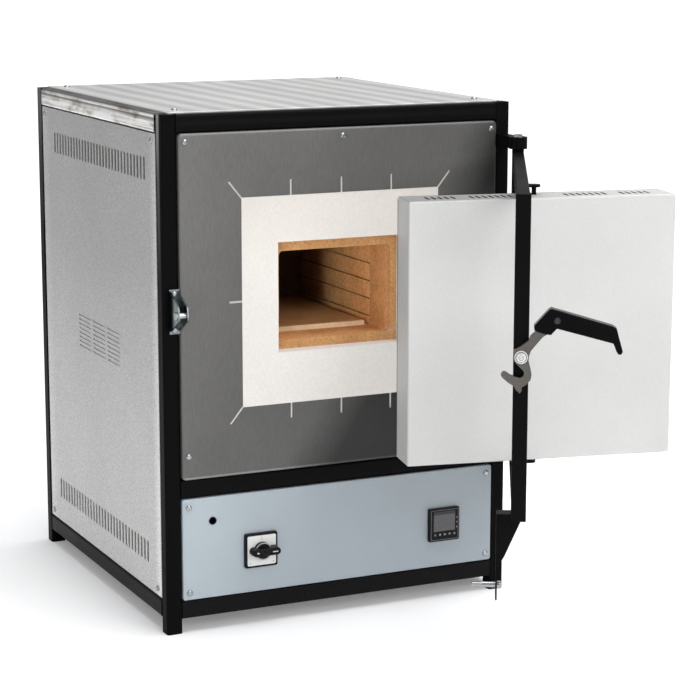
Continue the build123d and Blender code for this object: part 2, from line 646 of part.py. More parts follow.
with BuildPart() as controller:
    with BuildSketch(CONTROL_PLANE):
        with Locations(METER_MID):
            RectangleRounded(PLATE_SIZE, PLATE_SIZE, 2.5)
    extrude(amount=METER_PROUD)
    fillet(controller.faces().sort_by(Axis.Y)[0].edges(), 1.5)
    with BuildSketch(CONTROL_PLANE):
        with Locations(METER_MID):
            Rectangle(METER_BODY, METER_BODY)
    extrude(amount=-80)
    with BuildSketch(METER_FACE):
        with Locations(SCREEN_MID):
            Rectangle(SCREEN_W + 0.4, SCREEN_H + 0.4)
    extrude(amount=-SCREEN - 0.5, mode=Mode.SUBTRACT)
    with BuildSketch(METER_FACE):
        with Locations(KEY_SPOTS):
            Rectangle(KEY_W + 2 * KEY_GAP, KEY_H + 2 * KEY_GAP)
    extrude(amount=-KEY_POCKET, mode=Mode.SUBTRACT)
controller.part.label = "controller"
export_step(controller.part, "parts/controller.step")

with BuildPart() as controller_display:
    with BuildSketch(METER_FACE.offset(-0.5)):
        with Locations(SCREEN_MID):
            Rectangle(SCREEN_W, SCREEN_H)
    extrude(amount=-SCREEN)
controller_display.part.label = "controller_display"
export_step(controller_display.part, "parts/controller_display.step")

for number, spot in enumerate(KEY_SPOTS, start=1):
    with BuildPart() as key:
        with BuildSketch(METER_FACE.offset(KEY_TRAVEL)):
            with Locations(spot):
                Rectangle(KEY_W, KEY_H)
        extrude(amount=-KEY_TRAVEL - KEY_POCKET + KEY_TRAVEL + 0.2)
        fillet(key.faces().sort_by(Axis.Y)[0].edges(), 0.5)
    key.part.label = f"key_{number}"
    export_step(key.part, f"parts/key_{number}.step")

# Cam switch: square escutcheon with a pale inset, round body behind, turned by a lever knob
DIAL_MID = (from_left(DIAL_X), DIAL_Z)
DIAL_FACE = CONTROL_PLANE.offset(PLATE)
KNOB_SEAT = DIAL_FACE.offset(INSET)

with BuildPart() as cam_switch:
    with BuildSketch(CONTROL_PLANE):
        with Locations(DIAL_MID):
            RectangleRounded(PLATE_SIZE, PLATE_SIZE, 3)
    extrude(amount=PLATE)
    fillet(cam_switch.faces().sort_by(Axis.Y)[0].edges(), 1.2)
    with BuildSketch(CONTROL_PLANE):
        with Locations(DIAL_MID):
            Circle(KNOB_DISC / 2)
    extrude(amount=-SHEET)
    with BuildSketch(CONTROL_PLANE.offset(-SHEET)):
        with Locations(DIAL_MID):
            Rectangle(42, 42)
    extrude(amount=-55)
    for depth in (14, 27, 40):
        with BuildSketch(CONTROL_PLANE.offset(-SHEET - depth)):
            with Locations(DIAL_MID):
                Rectangle(42, 42)
                Rectangle(39, 39, mode=Mode.SUBTRACT)
        extrude(amount=-1.5, mode=Mode.SUBTRACT)
    with BuildSketch(DIAL_FACE):
        with Locations(DIAL_MID):
            Circle(SPINDLE / 2 + RUNNING)
    extrude(amount=-16, mode=Mode.SUBTRACT)
cam_switch.part.label = "cam_switch"
export_step(cam_switch.part, "parts/cam_switch.step")

with BuildPart() as switch_plate:
    with BuildSketch(DIAL_FACE):
        with Locations(DIAL_MID):
            RectangleRounded(INSET_SIZE, INSET_SIZE, 2)
            Circle(SPINDLE / 2 + 1, mode=Mode.SUBTRACT)
    extrude(amount=INSET)
switch_plate.part.label = "switch_plate"
export_step(switch_plate.part, "parts/switch_plate.step")

with BuildPart() as switch_knob:
    with BuildSketch(KNOB_SEAT.offset(0.3)):
        with Locations(DIAL_MID):
            Circle(KNOB_DISC / 2 - 2)
    extrude(amount=6, taper=8)
    with BuildSketch(KNOB_SEAT.offset(0.3)):
        with Locations((DIAL_MID[0] + 2.5, DIAL_MID[1])):
            SlotOverall(42, 11.5)
    extrude(amount=13.5, taper=3)
    fillet(switch_knob.faces().sort_by(Axis.Y)[0].edges(), 1.5)
    with BuildSketch(KNOB_SEAT.offset(0.3)):
        with Locations(DIAL_MID):
            Circle(SPINDLE / 2)
    extrude(amount=-14)
switch_knob.part.label = "switch_knob"
export_step(switch_knob.part, "parts/switch_knob.step")

# Door switch: a ring in the panel lets the door pin through to a sprung plunger
GATE_MID = (from_left(GATE_X), GATE_Z)
GUIDE_START = 12
GUIDE_END = 30
PLUNGER = 4
PLUNGER_TIP = 7.7

with BuildPart() as interlock_grommet:
    with BuildSketch(CONTROL_PLANE):
        with Locations(GATE_MID):
            Circle(GATE_RING / 2)
            Circle(GATE_HOLE / 2, mode=Mode.SUBTRACT)
    extrude(amount=0.8)
    with BuildSketch(CONTROL_PLANE):
        with Locations(GATE_MID):
            Circle(GATE_RING / 2 - 0.5)
            Circle(GATE_HOLE / 2, mode=Mode.SUBTRACT)
    extrude(amount=-SHEET)
interlock_grommet.part.label = "interlock_grommet"
export_step(interlock_grommet.part, "parts/interlock_grommet.step")

with BuildPart() as interlock_switch:
    with BuildSketch(CONTROL_PLANE.offset(-SHEET)):
        with Locations(GATE_MID):
            RectangleRounded(24, 30, 2)
    extrude(amount=-(CONTROL_PROUD - SHEET + GUIDE_END + 6))
    with BuildSketch(CONTROL_PLANE.offset(-SHEET)):
        with Locations(GATE_MID):
            Circle(GATE_RING / 2)
    extrude(amount=-(CONTROL_PROUD - SHEET + GUIDE_START), mode=Mode.SUBTRACT)
    with BuildSketch(FRONT_PLANE.offset(-GUIDE_START)):
        with Locations(GATE_MID):
            Circle(PLUNGER / 2 + RUNNING)
    extrude(amount=-(GUIDE_END - GUIDE_START), mode=Mode.SUBTRACT)
interlock_switch.part.label = "interlock_switch"
export_step(interlock_switch.part, "parts/interlock_switch.step")

with BuildPart() as interlock_plunger:
    with BuildSketch(FRONT_PLANE.offset(-PLUNGER_TIP)):
        with Locations(GATE_MID):
            Circle(PLUNGER / 2)
    extrude(amount=-(GUIDE_END - PLUNGER_TIP - 5))
    fillet(interlock_plunger.faces().sort_by(Axis.Y)[0].edges(), 1)
interlock_plunger.part.label = "interlock_plunger"
export_step(interlock_plunger.part, "parts/interlock_plunger.step")

# Mains side: gland in the rear panel, terminals and solid-state relay on the base plate
GLAND_MID = (-from_left(GLAND_X), GLAND_Z)
GLAND_BORE = 9

with BuildPart() as cable_gland:
    with BuildSketch(BACK_PLANE):
        with Locations(GLAND_MID):
            RegularPolygon(14, 6)
    extrude(amount=6)
    with BuildSketch(BACK_PLANE.offset(6)):
        with Locations(GLAND_MID):
            Circle(11.5)
    extrude(amount=13)
    fillet(cable_gland.faces().sort_by(Axis.Y)[-1].edges(), 4)
    with BuildSketch(BACK_PLANE):
        with Locations(GLAND_MID):
            Circle(GLAND_HOLE / 2 - 0.1)
    extrude(amount=-SHEET)
    with BuildSketch(BACK_PLANE.offset(-SHEET)):
        with Locations(GLAND_MID):
            RegularPolygon(13, 6)
    extrude(amount=-5)
    with BuildSketch(BACK_PLANE.offset(19)):
        with Locations(GLAND_MID):
            Circle(GLAND_BORE / 2)
    extrude(amount=-30, mode=Mode.SUBTRACT)
cable_gland.part.label = "cable_gland"
export_step(cable_gland.part, "parts/cable_gland.step")

BASE_TOP = BOTTOM_RAIL_Z + TUBE + SHEET
TERMINAL_MID = (from_left(400), from_front(430))
RELAY_MID = (from_left(250), from_front(400))

with BuildPart() as terminal_block:
    with BuildSketch(Plane.XY.offset(BASE_TOP)):
        with Locations(TERMINAL_MID):
            Rectangle(72, 30)
    extrude(amount=22)
    with BuildSketch(Plane.XY.offset(BASE_TOP + 22)):
        with Locations(TERMINAL_MID):
            with GridLocations(17, 0, 4, 1):
                Rectangle(13, 30)
    extrude(amount=6)
    with BuildSketch(Plane.XY.offset(BASE_TOP + 28)):
        with Locations(TERMINAL_MID):
            with GridLocations(17, 18, 4, 2):
                Circle(3.2)
    extrude(amount=-5, mode=Mode.SUBTRACT)
terminal_block.part.label = "terminal_block"
export_step(terminal_block.part, "parts/terminal_block.step")

with BuildPart() as power_relay:
    with BuildSketch(Plane.XY.offset(BASE_TOP)):
        with Locations(RELAY_MID):
            Rectangle(80, 90)
    extrude(amount=6)
    with BuildSketch(Plane.XY.offset(BASE_TOP + 6)):
        with Locations(RELAY_MID):
            with GridLocations(8.5, 0, 9, 1):
                Rectangle(2.4, 90)
    extrude(amount=26)
    with BuildSketch(Plane.XY.offset(BASE_TOP + 32)):
        with Locations(RELAY_MID):
            Rectangle(76, 80)
    extrude(amount=4)
    with BuildSketch(Plane.XY.offset(BASE_TOP + 36)):
        with Locations(RELAY_MID):
            Rectangle(45, 58)
    extrude(amount=22)
power_relay.part.label = "power_relay"
export_step(power_relay.part, "parts/power_relay.step")

# Hinge brackets on the right front post, each with its pin
HINGE = (from_left(HINGE_X), from_front(HINGE_Y))
BRACKET_RADIUS = 12.5
BRACKET_H = 16
BRACKET_NECK = 17
PIN_DEPTH = 20

with BuildPart() as hinge_brackets:
    for base, pin_from in ((HINGE_TOP, HINGE_TOP - PIN_DEPTH), (HINGE_BOTTOM - BRACKET_H, HINGE_BOTTOM)):
        with BuildSketch(Plane.XY.offset(base)):
            with Locations(HINGE):
                Circle(BRACKET_RADIUS)
            with Locations((HINGE[0], from_front(HINGE_Y / 2))):
                Rectangle(BRACKET_NECK, -HINGE_Y)
        extrude(amount=BRACKET_H)
        with BuildSketch(Plane.XY.offset(pin_from)):
            with Locations(HINGE):
                Circle(HINGE_PIN / 2)
        extrude(amount=PIN_DEPTH)
    with BuildSketch(Plane(origin=(HINGE[0] - 4, 0, 0), x_dir=(0, 1, 0), z_dir=(1, 0, 0))):
        with BuildLine():
            Polyline((from_front(0), HINGE_BOTTOM), (from_front(-32), HINGE_BOTTOM),
                     (from_front(-8), HINGE_BOTTOM + 16), (from_front(0), HINGE_BOTTOM + 16),
                     close=True)
        make_face()
    extrude(amount=8)
hinge_brackets.part.label = "hinge_brackets"
export_step(hinge_brackets.part, "parts/hinge_brackets.step")

# Swing frame. Its plane has x along the arms away from the hinge, y out of the closed front.
ARM_DIR = (-cos(radians(OPEN_TURN)), -sin(radians(OPEN_TURN)), 0)
OUT_DIR = (sin(radians(OPEN_TURN)), -cos(radians(OPEN_TURN)), 0)
ARM_PLANE = Plane(origin=(HINGE[0], HINGE[1], 0), x_dir=ARM_DIR, z_dir=(0, 0, 1))
ARM_TIP = ARM_REACH + ARM


def arm_point(s, o, z):
    return (HINGE[0] + s * ARM_DIR[0] + o * OUT_DIR[0], HINGE[1] + s * ARM_DIR[1] + o * OUT_DIR[1], z)


with BuildPart() as hinge_tube:
    with BuildSketch(ARM_PLANE.offset(HINGE_BOTTOM + THRUST)):
        RectangleRounded(ARM, ARM, 1.5)
        Circle(HINGE_PIN / 2 + RUNNING, mode=Mode.SUBTRACT)
    extrude(amount=HINGE_TOP - HINGE_BOTTOM - 2 * THRUST)
hinge_tube.part.label = "hinge_tube"
export_step(hinge_tube.part, "parts/hinge_tube.step")

with BuildPart() as upper_arm:
    add(square_tube(arm_point(ARM / 2, 0, UPPER_ARM_Z + ARM / 2), ARM_DIR, (0, 0, 1), ARM, ARM,
                    ARM_REACH - ARM / 2, ARM_WALL, 1.5))
upper_arm.part.label = "upper_arm"
export_step(upper_arm.part, "parts/upper_arm.step")

with BuildPart() as lower_arm:
    add(square_tube(arm_point(ARM / 2, 0, LOWER_ARM_Z + ARM / 2), ARM_DIR, (0, 0, 1), ARM, ARM,
                    ARM_REACH - ARM / 2, ARM_WALL, 1.5))
lower_arm.part.label = "lower_arm"
export_step(lower_arm.part, "parts/lower_arm.step")

# Latch bar with a bush for the latch bolt
BUSH = 13
BAR_W = 18
BAR_S = ARM_REACH + ARM / 2
BAR_END = Plane(origin=arm_point(ARM_TIP, 0, LATCH_Z), x_dir=OUT_DIR, z_dir=ARM_DIR)

with BuildPart() as latch_bar:
    add(square_tube(arm_point(BAR_S, 0, LOWER_ARM_Z), (0, 0, 1), ARM_DIR, ARM, BAR_W,
                    UPPER_ARM_Z + ARM - LOWER_ARM_Z, ARM_WALL, 1.5))
    with BuildSketch(BAR_END):
        Circle(BUSH / 2 - 0.5)
    extrude(amount=-ARM)
    with BuildSketch(BAR_END):
        Circle(LATCH_BOLT / 2 + RUNNING)
    extrude(amount=-ARM, mode=Mode.SUBTRACT)
latch_bar.part.label = "latch_bar"
export_step(latch_bar.part, "parts/latch_bar.step")

# Plates and pins on the arms that carry the door
PIVOT_PLATE = 3
PIVOT_DEPTH = 17
DOOR_Z1 = DOOR_Z0 + DOOR_H
PIVOT_LENGTH_TOP = UPPER_ARM_Z - DOOR_Z1 + PIVOT_DEPTH
PIVOT_LENGTH_LOW = DOOR_Z0 - LOWER_ARM_Z - ARM + PIVOT_DEPTH

with BuildPart() as door_pivots:
    for base, pin_z, pin_length in (
        (UPPER_ARM_Z - PIVOT_PLATE, UPPER_ARM_Z - PIVOT_LENGTH_TOP, PIVOT_LENGTH_TOP),
        (LOWER_ARM_Z + ARM, LOWER_ARM_Z + ARM, PIVOT_LENGTH_LOW),
    ):
        with BuildSketch(ARM_PLANE.offset(base)):
            with Locations((PIVOT_S, 1)):
                Rectangle(22, ARM + 2)
            with Locations((PIVOT_S, PIVOT_O)):
                Circle(8)
            with Locations((PIVOT_S, PIVOT_O / 2 + 2)):
                Rectangle(ARM, PIVOT_O - 4)
        extrude(amount=PIVOT_PLATE)
        with BuildSketch(ARM_PLANE.offset(pin_z)):
            with Locations((PIVOT_S, PIVOT_O)):
                Circle(PIVOT_PIN / 2)
        extrude(amount=pin_length)
door_pivots.part.label = "door_pivots"
export_step(door_pivots.part, "parts/door_pivots.step")

# Bracket under the lower arm with the pin that works the door switch
GATE_S = HINGE_X - GATE_X
BRACKET_W = 20
BRACKET_O = -24
BRACKET_LOW = 136.5
BRACKET_SHEET = 2
PIN_BODY = 7
PIN_TIP = 5
PIN_HEAD = 10
PIN_HEAD_H = 5
PIN_STEP_O = -42
PIN_END_O = -55.4
GATE_ARM_PLANE = Plane(origin=arm_point(GATE_S, BRACKET_O, GATE_Z), x_dir=ARM_DIR, z_dir=OUT_DIR)

with BuildPart() as interlock_bracket:
    with BuildSketch(ARM_PLANE.offset(LOWER_ARM_Z)):
        with Locations((GATE_S, (BRACKET_O - BRACKET_SHEET + ARM / 2) / 2)):
            Rectangle(BRACKET_W, ARM / 2 - BRACKET_O + BRACKET_SHEET)
    extrude(amount=-3)
    with BuildSketch(ARM_PLANE.offset(BRACKET_LOW)):
        with Locations((GATE_S, BRACKET_O - BRACKET_SHEET / 2)):
            Rectangle(BRACKET_W, BRACKET_SHEET)
    extrude(amount=LOWER_ARM_Z - BRACKET_LOW)
    with BuildSketch(Plane(origin=arm_point(GATE_S + BRACKET_W / 2, 0, 0), x_dir=OUT_DIR, z_dir=ARM_DIR)):
        with BuildLine():
            Polyline((BRACKET_O - BRACKET_SHEET, LOWER_ARM_Z - 3), (ARM / 2 - 2, LOWER_ARM_Z - 3),
                     (BRACKET_O + 8.5, 192), (BRACKET_O + 0.5, 178), (BRACKET_O - BRACKET_SHEET, 178),
                     close=True)
        make_face()
    extrude(amount=-BRACKET_SHEET)
    with BuildSketch(GATE_ARM_PLANE):
        Circle(PIN_BODY / 2 + 0.1)
    extrude(amount=-BRACKET_SHEET - 1, mode=Mode.SUBTRACT)
interlock_bracket.part.label = "interlock_bracket"
export_step(interlock_bracket.part, "parts/interlock_bracket.step")

with BuildPart() as interlock_pin:
    with BuildSketch(GATE_ARM_PLANE):
        Circle(PIN_HEAD / 2)
    extrude(amount=PIN_HEAD_H)
    fillet(interlock_pin.faces().sort_by(Axis(origin=(0, 0, 0), direction=OUT_DIR))[-1].edges(), 1.5)
    with BuildSketch(GATE_ARM_PLANE):
        Circle(PIN_BODY / 2)
    extrude(amount=PIN_STEP_O - BRACKET_O)
    with BuildSketch(GATE_ARM_PLANE.offset(PIN_STEP_O - BRACKET_O)):
        Circle(PIN_TIP / 2)
    extrude(amount=PIN_END_O - PIN_STEP_O)
    fillet(interlock_pin.faces().sort_by(Axis(origin=(0, 0, 0), direction=OUT_DIR))[0].edges(), 1.6)
interlock_pin.part.label = "interlock_pin"
export_step(interlock_pin.part, "parts/interlock_pin.step")

# Door. Its plane has the pivot as origin, x along the door, y from its face to its back.
DOOR_PIVOT = arm_point(PIVOT_S, PIVOT_O, 0)
DOOR_DIR = (cos(radians(DOOR_TURN)), sin(radians(DOOR_TURN)), 0)
DOOR_NORMAL = (sin(radians(DOOR_TURN)), -cos(radians(DOOR_TURN)), 0)
DOOR_PLANE = Plane(origin=DOOR_PIVOT, x_dir=DOOR_DIR, z_dir=(0, 0, 1))
DOOR_MID_Y = (DOOR_BACK - DOOR_FRONT) / 2
DOOR_DEPTH = DOOR_BACK + DOOR_FRONT
DOOR_LEFT = DOOR_SHIFT - DOOR_W / 2
DOOR_FACE = Plane(origin=DOOR_PIVOT, x_dir=DOOR_DIR, z_dir=DOOR_NORMAL)
DOOR_AXIS = Axis(origin=(0, 0, 0), direction=DOOR_NORMAL)
BUSH_DEPTH = PIVOT_DEPTH + 3
SLOT_LENGTH = 24
SLOT_WIDTH = 4
SLOT_PITCH = 8.4
SLOT_INSET = 14
OUTER_SLOT_COUNT = 5
INNER_SLOT_COUNT = 7
SLOT_GROUPS = ((47, OUTER_SLOT_COUNT), (113, INNER_SLOT_COUNT),
               (237, INNER_SLOT_COUNT), (303, OUTER_SLOT_COUNT))

with BuildPart() as door_shell:
    with BuildSketch(DOOR_FACE.offset(-DOOR_BACK)):
        with Locations((DOOR_SHIFT, DOOR_Z0 + DOOR_H / 2)):
            RectangleRounded(DOOR_W, DOOR_H, DOOR_EDGE)
    extrude(amount=DOOR_DEPTH)
    fillet(door_shell.faces().sort_by(DOOR_AXIS)[-1].edges(), DOOR_EDGE - 0.5)
    with BuildSketch(DOOR_FACE.offset(-DOOR_BACK)):
        with Locations((DOOR_SHIFT, DOOR_Z0 + DOOR_H / 2)):
            Rectangle(DOOR_W - 2 * SHEET, DOOR_H - 2 * SHEET)
    extrude(amount=DOOR_DEPTH - SHEET, mode=Mode.SUBTRACT)
    with BuildSketch(DOOR_PLANE.offset(DOOR_Z0), DOOR_PLANE.offset(DOOR_Z1 - BUSH_DEPTH)):
        Circle(BUSH / 2)
    extrude(amount=BUSH_DEPTH)
    with BuildSketch(DOOR_PLANE.offset(DOOR_Z0), DOOR_PLANE.offset(DOOR_Z1 - BUSH_DEPTH)):
        Circle(PIVOT_PIN / 2 + RUNNING)
    extrude(amount=BUSH_DEPTH, mode=Mode.SUBTRACT)
    for middle, count in SLOT_GROUPS:
        with BuildSketch(DOOR_PLANE.offset(DOOR_Z0), DOOR_PLANE.offset(DOOR_Z1 - SHEET)):
            with Locations((DOOR_LEFT + middle, SLOT_INSET + SLOT_LENGTH / 2 - DOOR_FRONT)):
                with GridLocations(SLOT_PITCH, 0, count, 1):
                    SlotOverall(SLOT_LENGTH, SLOT_WIDTH, rotation=90)
        extrude(amount=SHEET, mode=Mode.SUBTRACT)
door_shell.part.label = "door_shell"
export_step(door_shell.part, "parts/door_shell.step")

DOOR_FIT = 0.1

with BuildPart() as door_back_plate:
    with BuildSketch(DOOR_FACE.offset(-DOOR_BACK)):
        with Locations((DOOR_SHIFT, DOOR_Z0 + DOOR_H / 2)):
            Rectangle(DOOR_W - 2 * SHEET - 2 * DOOR_FIT, DOOR_H - 2 * SHEET - 2 * DOOR_FIT)
    extrude(amount=SHEET)
door_back_plate.part.label = "door_back_plate"
export_step(door_back_plate.part, "parts/door_back_plate.step")

with BuildPart() as door_insulation:
    with BuildSketch(DOOR_FACE.offset(-DOOR_BACK)):
        with Locations((0, HOLE_Z)):
            RectangleRounded(PAD_W, PAD_H, 6)
    extrude(amount=-PAD, taper=5)
door_insulation.part.label = "door_insulation"
export_step(door_insulation.part, "parts/door_insulation.step")

# Latch lever on the end of the bar: hub, hook below it and shank up to the handle
LEVER_PLANE = BAR_END.offset(LATCH_WASHER)
HANDLE = 16
HANDLE_SCREW = (41.3, 44.1)
HOOK_OUTLINE = [(-8.7, -1.1), (-7.9, -5.2), (-5.4, -8.2), (-2.1, -11.4), (0.3, -13.8), (3.1, -16.8), (3.8, -20),
                (2.3, -23.4), (-1.4, -24.9), (-6.2, -23.9), (-11, -22.3), (-17.9, -17.5), (-20.4, -17.2),
                (-22.8, -19), (-23.4, -22), (-21.6, -24.9), (-14.6, -30.8), (-7.8, -35), (-5.8, -39.2),
                (-1, -43.4), (1.2, -40.3), (1.2, -36.2), (6.3, -33.1), (11.4, -27.1), (12.5, -21.1),
                (11.8, -16.3), (8.8, -4.4), (9.2, 1.6), (11.4, 7.6), (16.1, 13.6), (25.1, 24.4)]
SHANK_OUTLINE = [(48, 38), (49, 46), (44, 49), (32, 46), (10.5, 25.4), (8.2, 19.4), (-1.5, 12.2), (-8.7, 8.5)]
HANDLE_OUTLINE = [(14.9, 31.9), (14.3, 37.3), (31.3, 56.4), (34.7, 58.2), (105.6, 38.4), (110.3, 35.5),
                  (112.8, 26.1), (117.9, 8.4), (116.3, 4.8), (112.8, 4.8), (110.4, 8.3), (106.7, 17.7),
                  (41, 34.6), (34.1, 26.9), (24.8, 28.5)]

with BuildPart() as hook_lever:
    with BuildSketch(LEVER_PLANE):
        with BuildLine():
            Polyline(HOOK_OUTLINE + SHANK_OUTLINE, close=True)
        make_face()
        Circle(LATCH_BOLT / 2 + RUNNING, mode=Mode.SUBTRACT)
        with Locations(HANDLE_SCREW):
            Circle(SCREW_HOLE / 2, mode=Mode.SUBTRACT)
    extrude(amount=LATCH_PLATE)
hook_lever.part.label = "hook_lever"
export_step(hook_lever.part, "parts/hook_lever.step")

with BuildPart() as latch_handle:
    with BuildSketch(LEVER_PLANE.offset(-HANDLE / 2)):
        with BuildLine():
            Polyline(HANDLE_OUTLINE, close=True)
        make_face()
    extrude(amount=HANDLE)
    fillet(latch_handle.edges().filter_by(Axis(origin=(0, 0, 0), direction=ARM_DIR)), 1.2)
    fillet(latch_handle.faces().sort_by(Axis(origin=(0, 0, 0), direction=ARM_DIR))[-1].edges(), 1.5)
    fillet(latch_handle.faces().sort_by(Axis(origin=(0, 0, 0), direction=ARM_DIR))[0].edges(), 1.5)
    with BuildSketch(LEVER_PLANE):
        with BuildLine():
            Polyline(HOOK_OUTLINE + SHANK_OUTLINE, close=True)
        make_face()
        offset(amount=SEAT_GAP / 2)
    extrude(amount=LATCH_PLATE, mode=Mode.SUBTRACT)
    with BuildSketch(LEVER_PLANE):
        with Locations(HANDLE_SCREW):
            Circle(SCREW_HOLE / 2)
    extrude(amount=HANDLE, both=True, mode=Mode.SUBTRACT)
latch_handle.part.label = "latch_handle"
export_step(latch_handle.part, "parts/latch_handle.step")

# Latch fasteners: washers either side of the lever, hexagon bolt, and the handle screw
BOLT_TAIL = 13
WASHER = 15.6

with BuildPart() as latch_bolt:
    for start, thickness in ((0, LATCH_WASHER), (LATCH_WASHER + LATCH_PLATE, SHEET)):
        with BuildSketch(BAR_END.offset(start)):
            Circle(WASHER / 2)
            Circle(LATCH_BOLT / 2 + RUNNING, mode=Mode.SUBTRACT)
        extrude(amount=thickness)
    with BuildSketch(BAR_END.offset(-BOLT_TAIL)):
        Circle(LATCH_BOLT / 2)
    extrude(amount=BOLT_TAIL + LATCH_WASHER + LATCH_PLATE + SHEET)
    with BuildSketch(BAR_END.offset(LATCH_WASHER + LATCH_PLATE + SHEET)):
        RegularPolygon(5.6, 6)
    extrude(amount=4.5)
latch_bolt.part.label = "latch_bolt"
export_step(latch_bolt.part, "parts/latch_bolt.step")

with BuildPart() as handle_screw:
    with BuildSketch(LEVER_PLANE.offset(-HANDLE / 2)):
        with Locations(HANDLE_SCREW):
            Circle(SCREW / 2)
    extrude(amount=HANDLE)
    with BuildSketch(LEVER_PLANE.offset(HANDLE / 2)):
        with Locations(HANDLE_SCREW):
            Circle(SCREW_HEAD / 2)
    extrude(amount=2, taper=25)
handle_screw.part.label = "handle_screw"
export_step(handle_screw.part, "parts/handle_screw.step")

# Keeper on the left front post: base, two cheeks and the pin that the hook closes on
CHEEK = 2
CHEEK_STARTS = (8, 20.3)
CHEEK_NOSE = 8
CHEEK_RISE = 12
CHEEK_DROP = 5
KEEPER_LOW = KEEPER_Z - 28.5
KEEPER_TOP = KEEPER_Z + 31
KEEPER_BASE = 3
KEEPER_BOLTS = (KEEPER_LOW + 6, KEEPER_TOP - 6)

with BuildPart() as keeper_bracket:
    add(block(CHEEK_STARTS[0], CHEEK_STARTS[1] + CHEEK, -KEEPER_BASE, 0, KEEPER_LOW, KEEPER_TOP))
    for start in CHEEK_STARTS:
        with BuildSketch(Plane(origin=(from_left(start), 0, 0), x_dir=(0, 1, 0), z_dir=(1, 0, 0))) as cheek:
            with BuildLine():
                Polyline((from_front(0), KEEPER_TOP), (from_front(KEEPER_Y - CHEEK_DROP), KEEPER_Z + CHEEK_RISE),
                         (from_front(KEEPER_Y - CHEEK_NOSE), KEEPER_Z - CHEEK_DROP),
                         (from_front(0), KEEPER_LOW), close=True)
            make_face()
            fillet(cheek.vertices().sort_by(Axis.Y)[:2], 5)
        extrude(amount=CHEEK)
    with BuildSketch(Plane(origin=(from_left(0), 0, 0), x_dir=(0, 1, 0), z_dir=(1, 0, 0))):
        with Locations((from_front(KEEPER_Y), KEEPER_Z)):
            Circle(KEEPER_PIN / 2 + RUNNING)
    extrude(amount=TUBE, mode=Mode.SUBTRACT)
    with BuildSketch(FRONT_PLANE):
        for z in KEEPER_BOLTS:
            with Locations((from_left((CHEEK_STARTS[0] + CHEEK_STARTS[1] + CHEEK) / 2), z)):
                Circle(SCREW_HOLE / 2)
    extrude(amount=KEEPER_BASE, mode=Mode.SUBTRACT)
keeper_bracket.part.label = "keeper_bracket"
export_step(keeper_bracket.part, "parts/keeper_bracket.step")

with BuildPart() as keeper_pin:
    keeper_axis = Plane(origin=(from_left(CHEEK_STARTS[0]), from_front(KEEPER_Y), KEEPER_Z),
                        x_dir=(0, 1, 0), z_dir=(1, 0, 0))
    with BuildSketch(keeper_axis):
        Circle(KEEPER_PIN / 2)
    extrude(amount=CHEEK_STARTS[1] + CHEEK - CHEEK_STARTS[0] + 1)
    with BuildSketch(keeper_axis):
        Circle(5.5)
    extrude(amount=-2.5)
    fillet(keeper_pin.faces().sort_by(Axis.X)[0].edges(), 1)
keeper_pin.part.label = "keeper_pin"
export_step(keeper_pin.part, "parts/keeper_pin.step")


# Dome-headed screws of the panels and the keeper
def screw(length):
    with BuildPart() as piece:
        with BuildSketch(Plane.XY):
            Circle(SCREW_HEAD / 2)
        extrude(amount=SCREW_DOME)
        fillet(piece.faces().sort_by(Axis.Z)[-1].edges(), SCREW_DOME - 0.3)
        with BuildSketch(Plane.XY):
            Circle(SCREW / 2)
        extrude(amount=-length)
    return piece.part


KEEPER_SPOTS = [(from_left((CHEEK_STARTS[0] + CHEEK_STARTS[1] + CHEEK) / 2), z) for z in KEEPER_BOLTS]
SCREW_SETS = [(PANEL_PLANE, PANEL_SPOTS, screw(FRONT_PROUD + TRAY_SEAT + LUG_SHEET)),
              (CONTROL_PLANE, CONTROL_SPOTS, screw(CONTROL_PROUD + TRAY_SEAT + LUG_SHEET)),
              (LEFT_PLANE, SIDE_SPOTS, screw(SHEET + LUG_SHEET)),
              (RIGHT_PLANE, SIDE_SPOTS, screw(SHEET + LUG_SHEET)),
              (BACK_PLANE, BACK_SPOTS, screw(SHEET + LUG_SHEET)),
              (TOP_PLANE, TOP_SPOTS, screw(TOP_SHEET + LUG_SHEET)),
              (FRONT_PLANE.offset(KEEPER_BASE), KEEPER_SPOTS, screw(KEEPER_BASE))]

with BuildPart() as casing_screws:
    for face, spots, piece in SCREW_SETS:
        with Locations(face):
            with Locations(spots):
                add(piece)
casing_screws.part.label = "casing_screws"
export_step(casing_screws.part, "parts/casing_screws.step")
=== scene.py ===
import math

import bmesh
import bpy
from mathutils import Matrix, Vector


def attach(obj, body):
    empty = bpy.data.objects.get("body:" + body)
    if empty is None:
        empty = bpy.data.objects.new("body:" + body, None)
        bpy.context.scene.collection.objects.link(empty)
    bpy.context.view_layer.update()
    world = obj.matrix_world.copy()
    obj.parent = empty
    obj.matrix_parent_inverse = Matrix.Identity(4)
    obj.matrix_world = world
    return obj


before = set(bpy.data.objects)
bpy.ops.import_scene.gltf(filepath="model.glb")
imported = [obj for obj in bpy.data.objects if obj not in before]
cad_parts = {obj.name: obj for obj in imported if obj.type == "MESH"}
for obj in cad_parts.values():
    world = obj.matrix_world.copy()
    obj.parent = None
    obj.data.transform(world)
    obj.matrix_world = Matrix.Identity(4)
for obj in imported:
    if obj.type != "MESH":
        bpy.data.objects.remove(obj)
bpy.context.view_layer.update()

# Camera: place in metres and angles in degrees, solved from the photograph
CAMERA_PLACE = (-1.2539, -2.93383, 0.94688)
CAMERA_AZIMUTH = -25.380
CAMERA_ELEVATION = 11.043
CAMERA_ROLL = 0.082
CAMERA_LENS = 113.41
CAMERA_SENSOR = 36

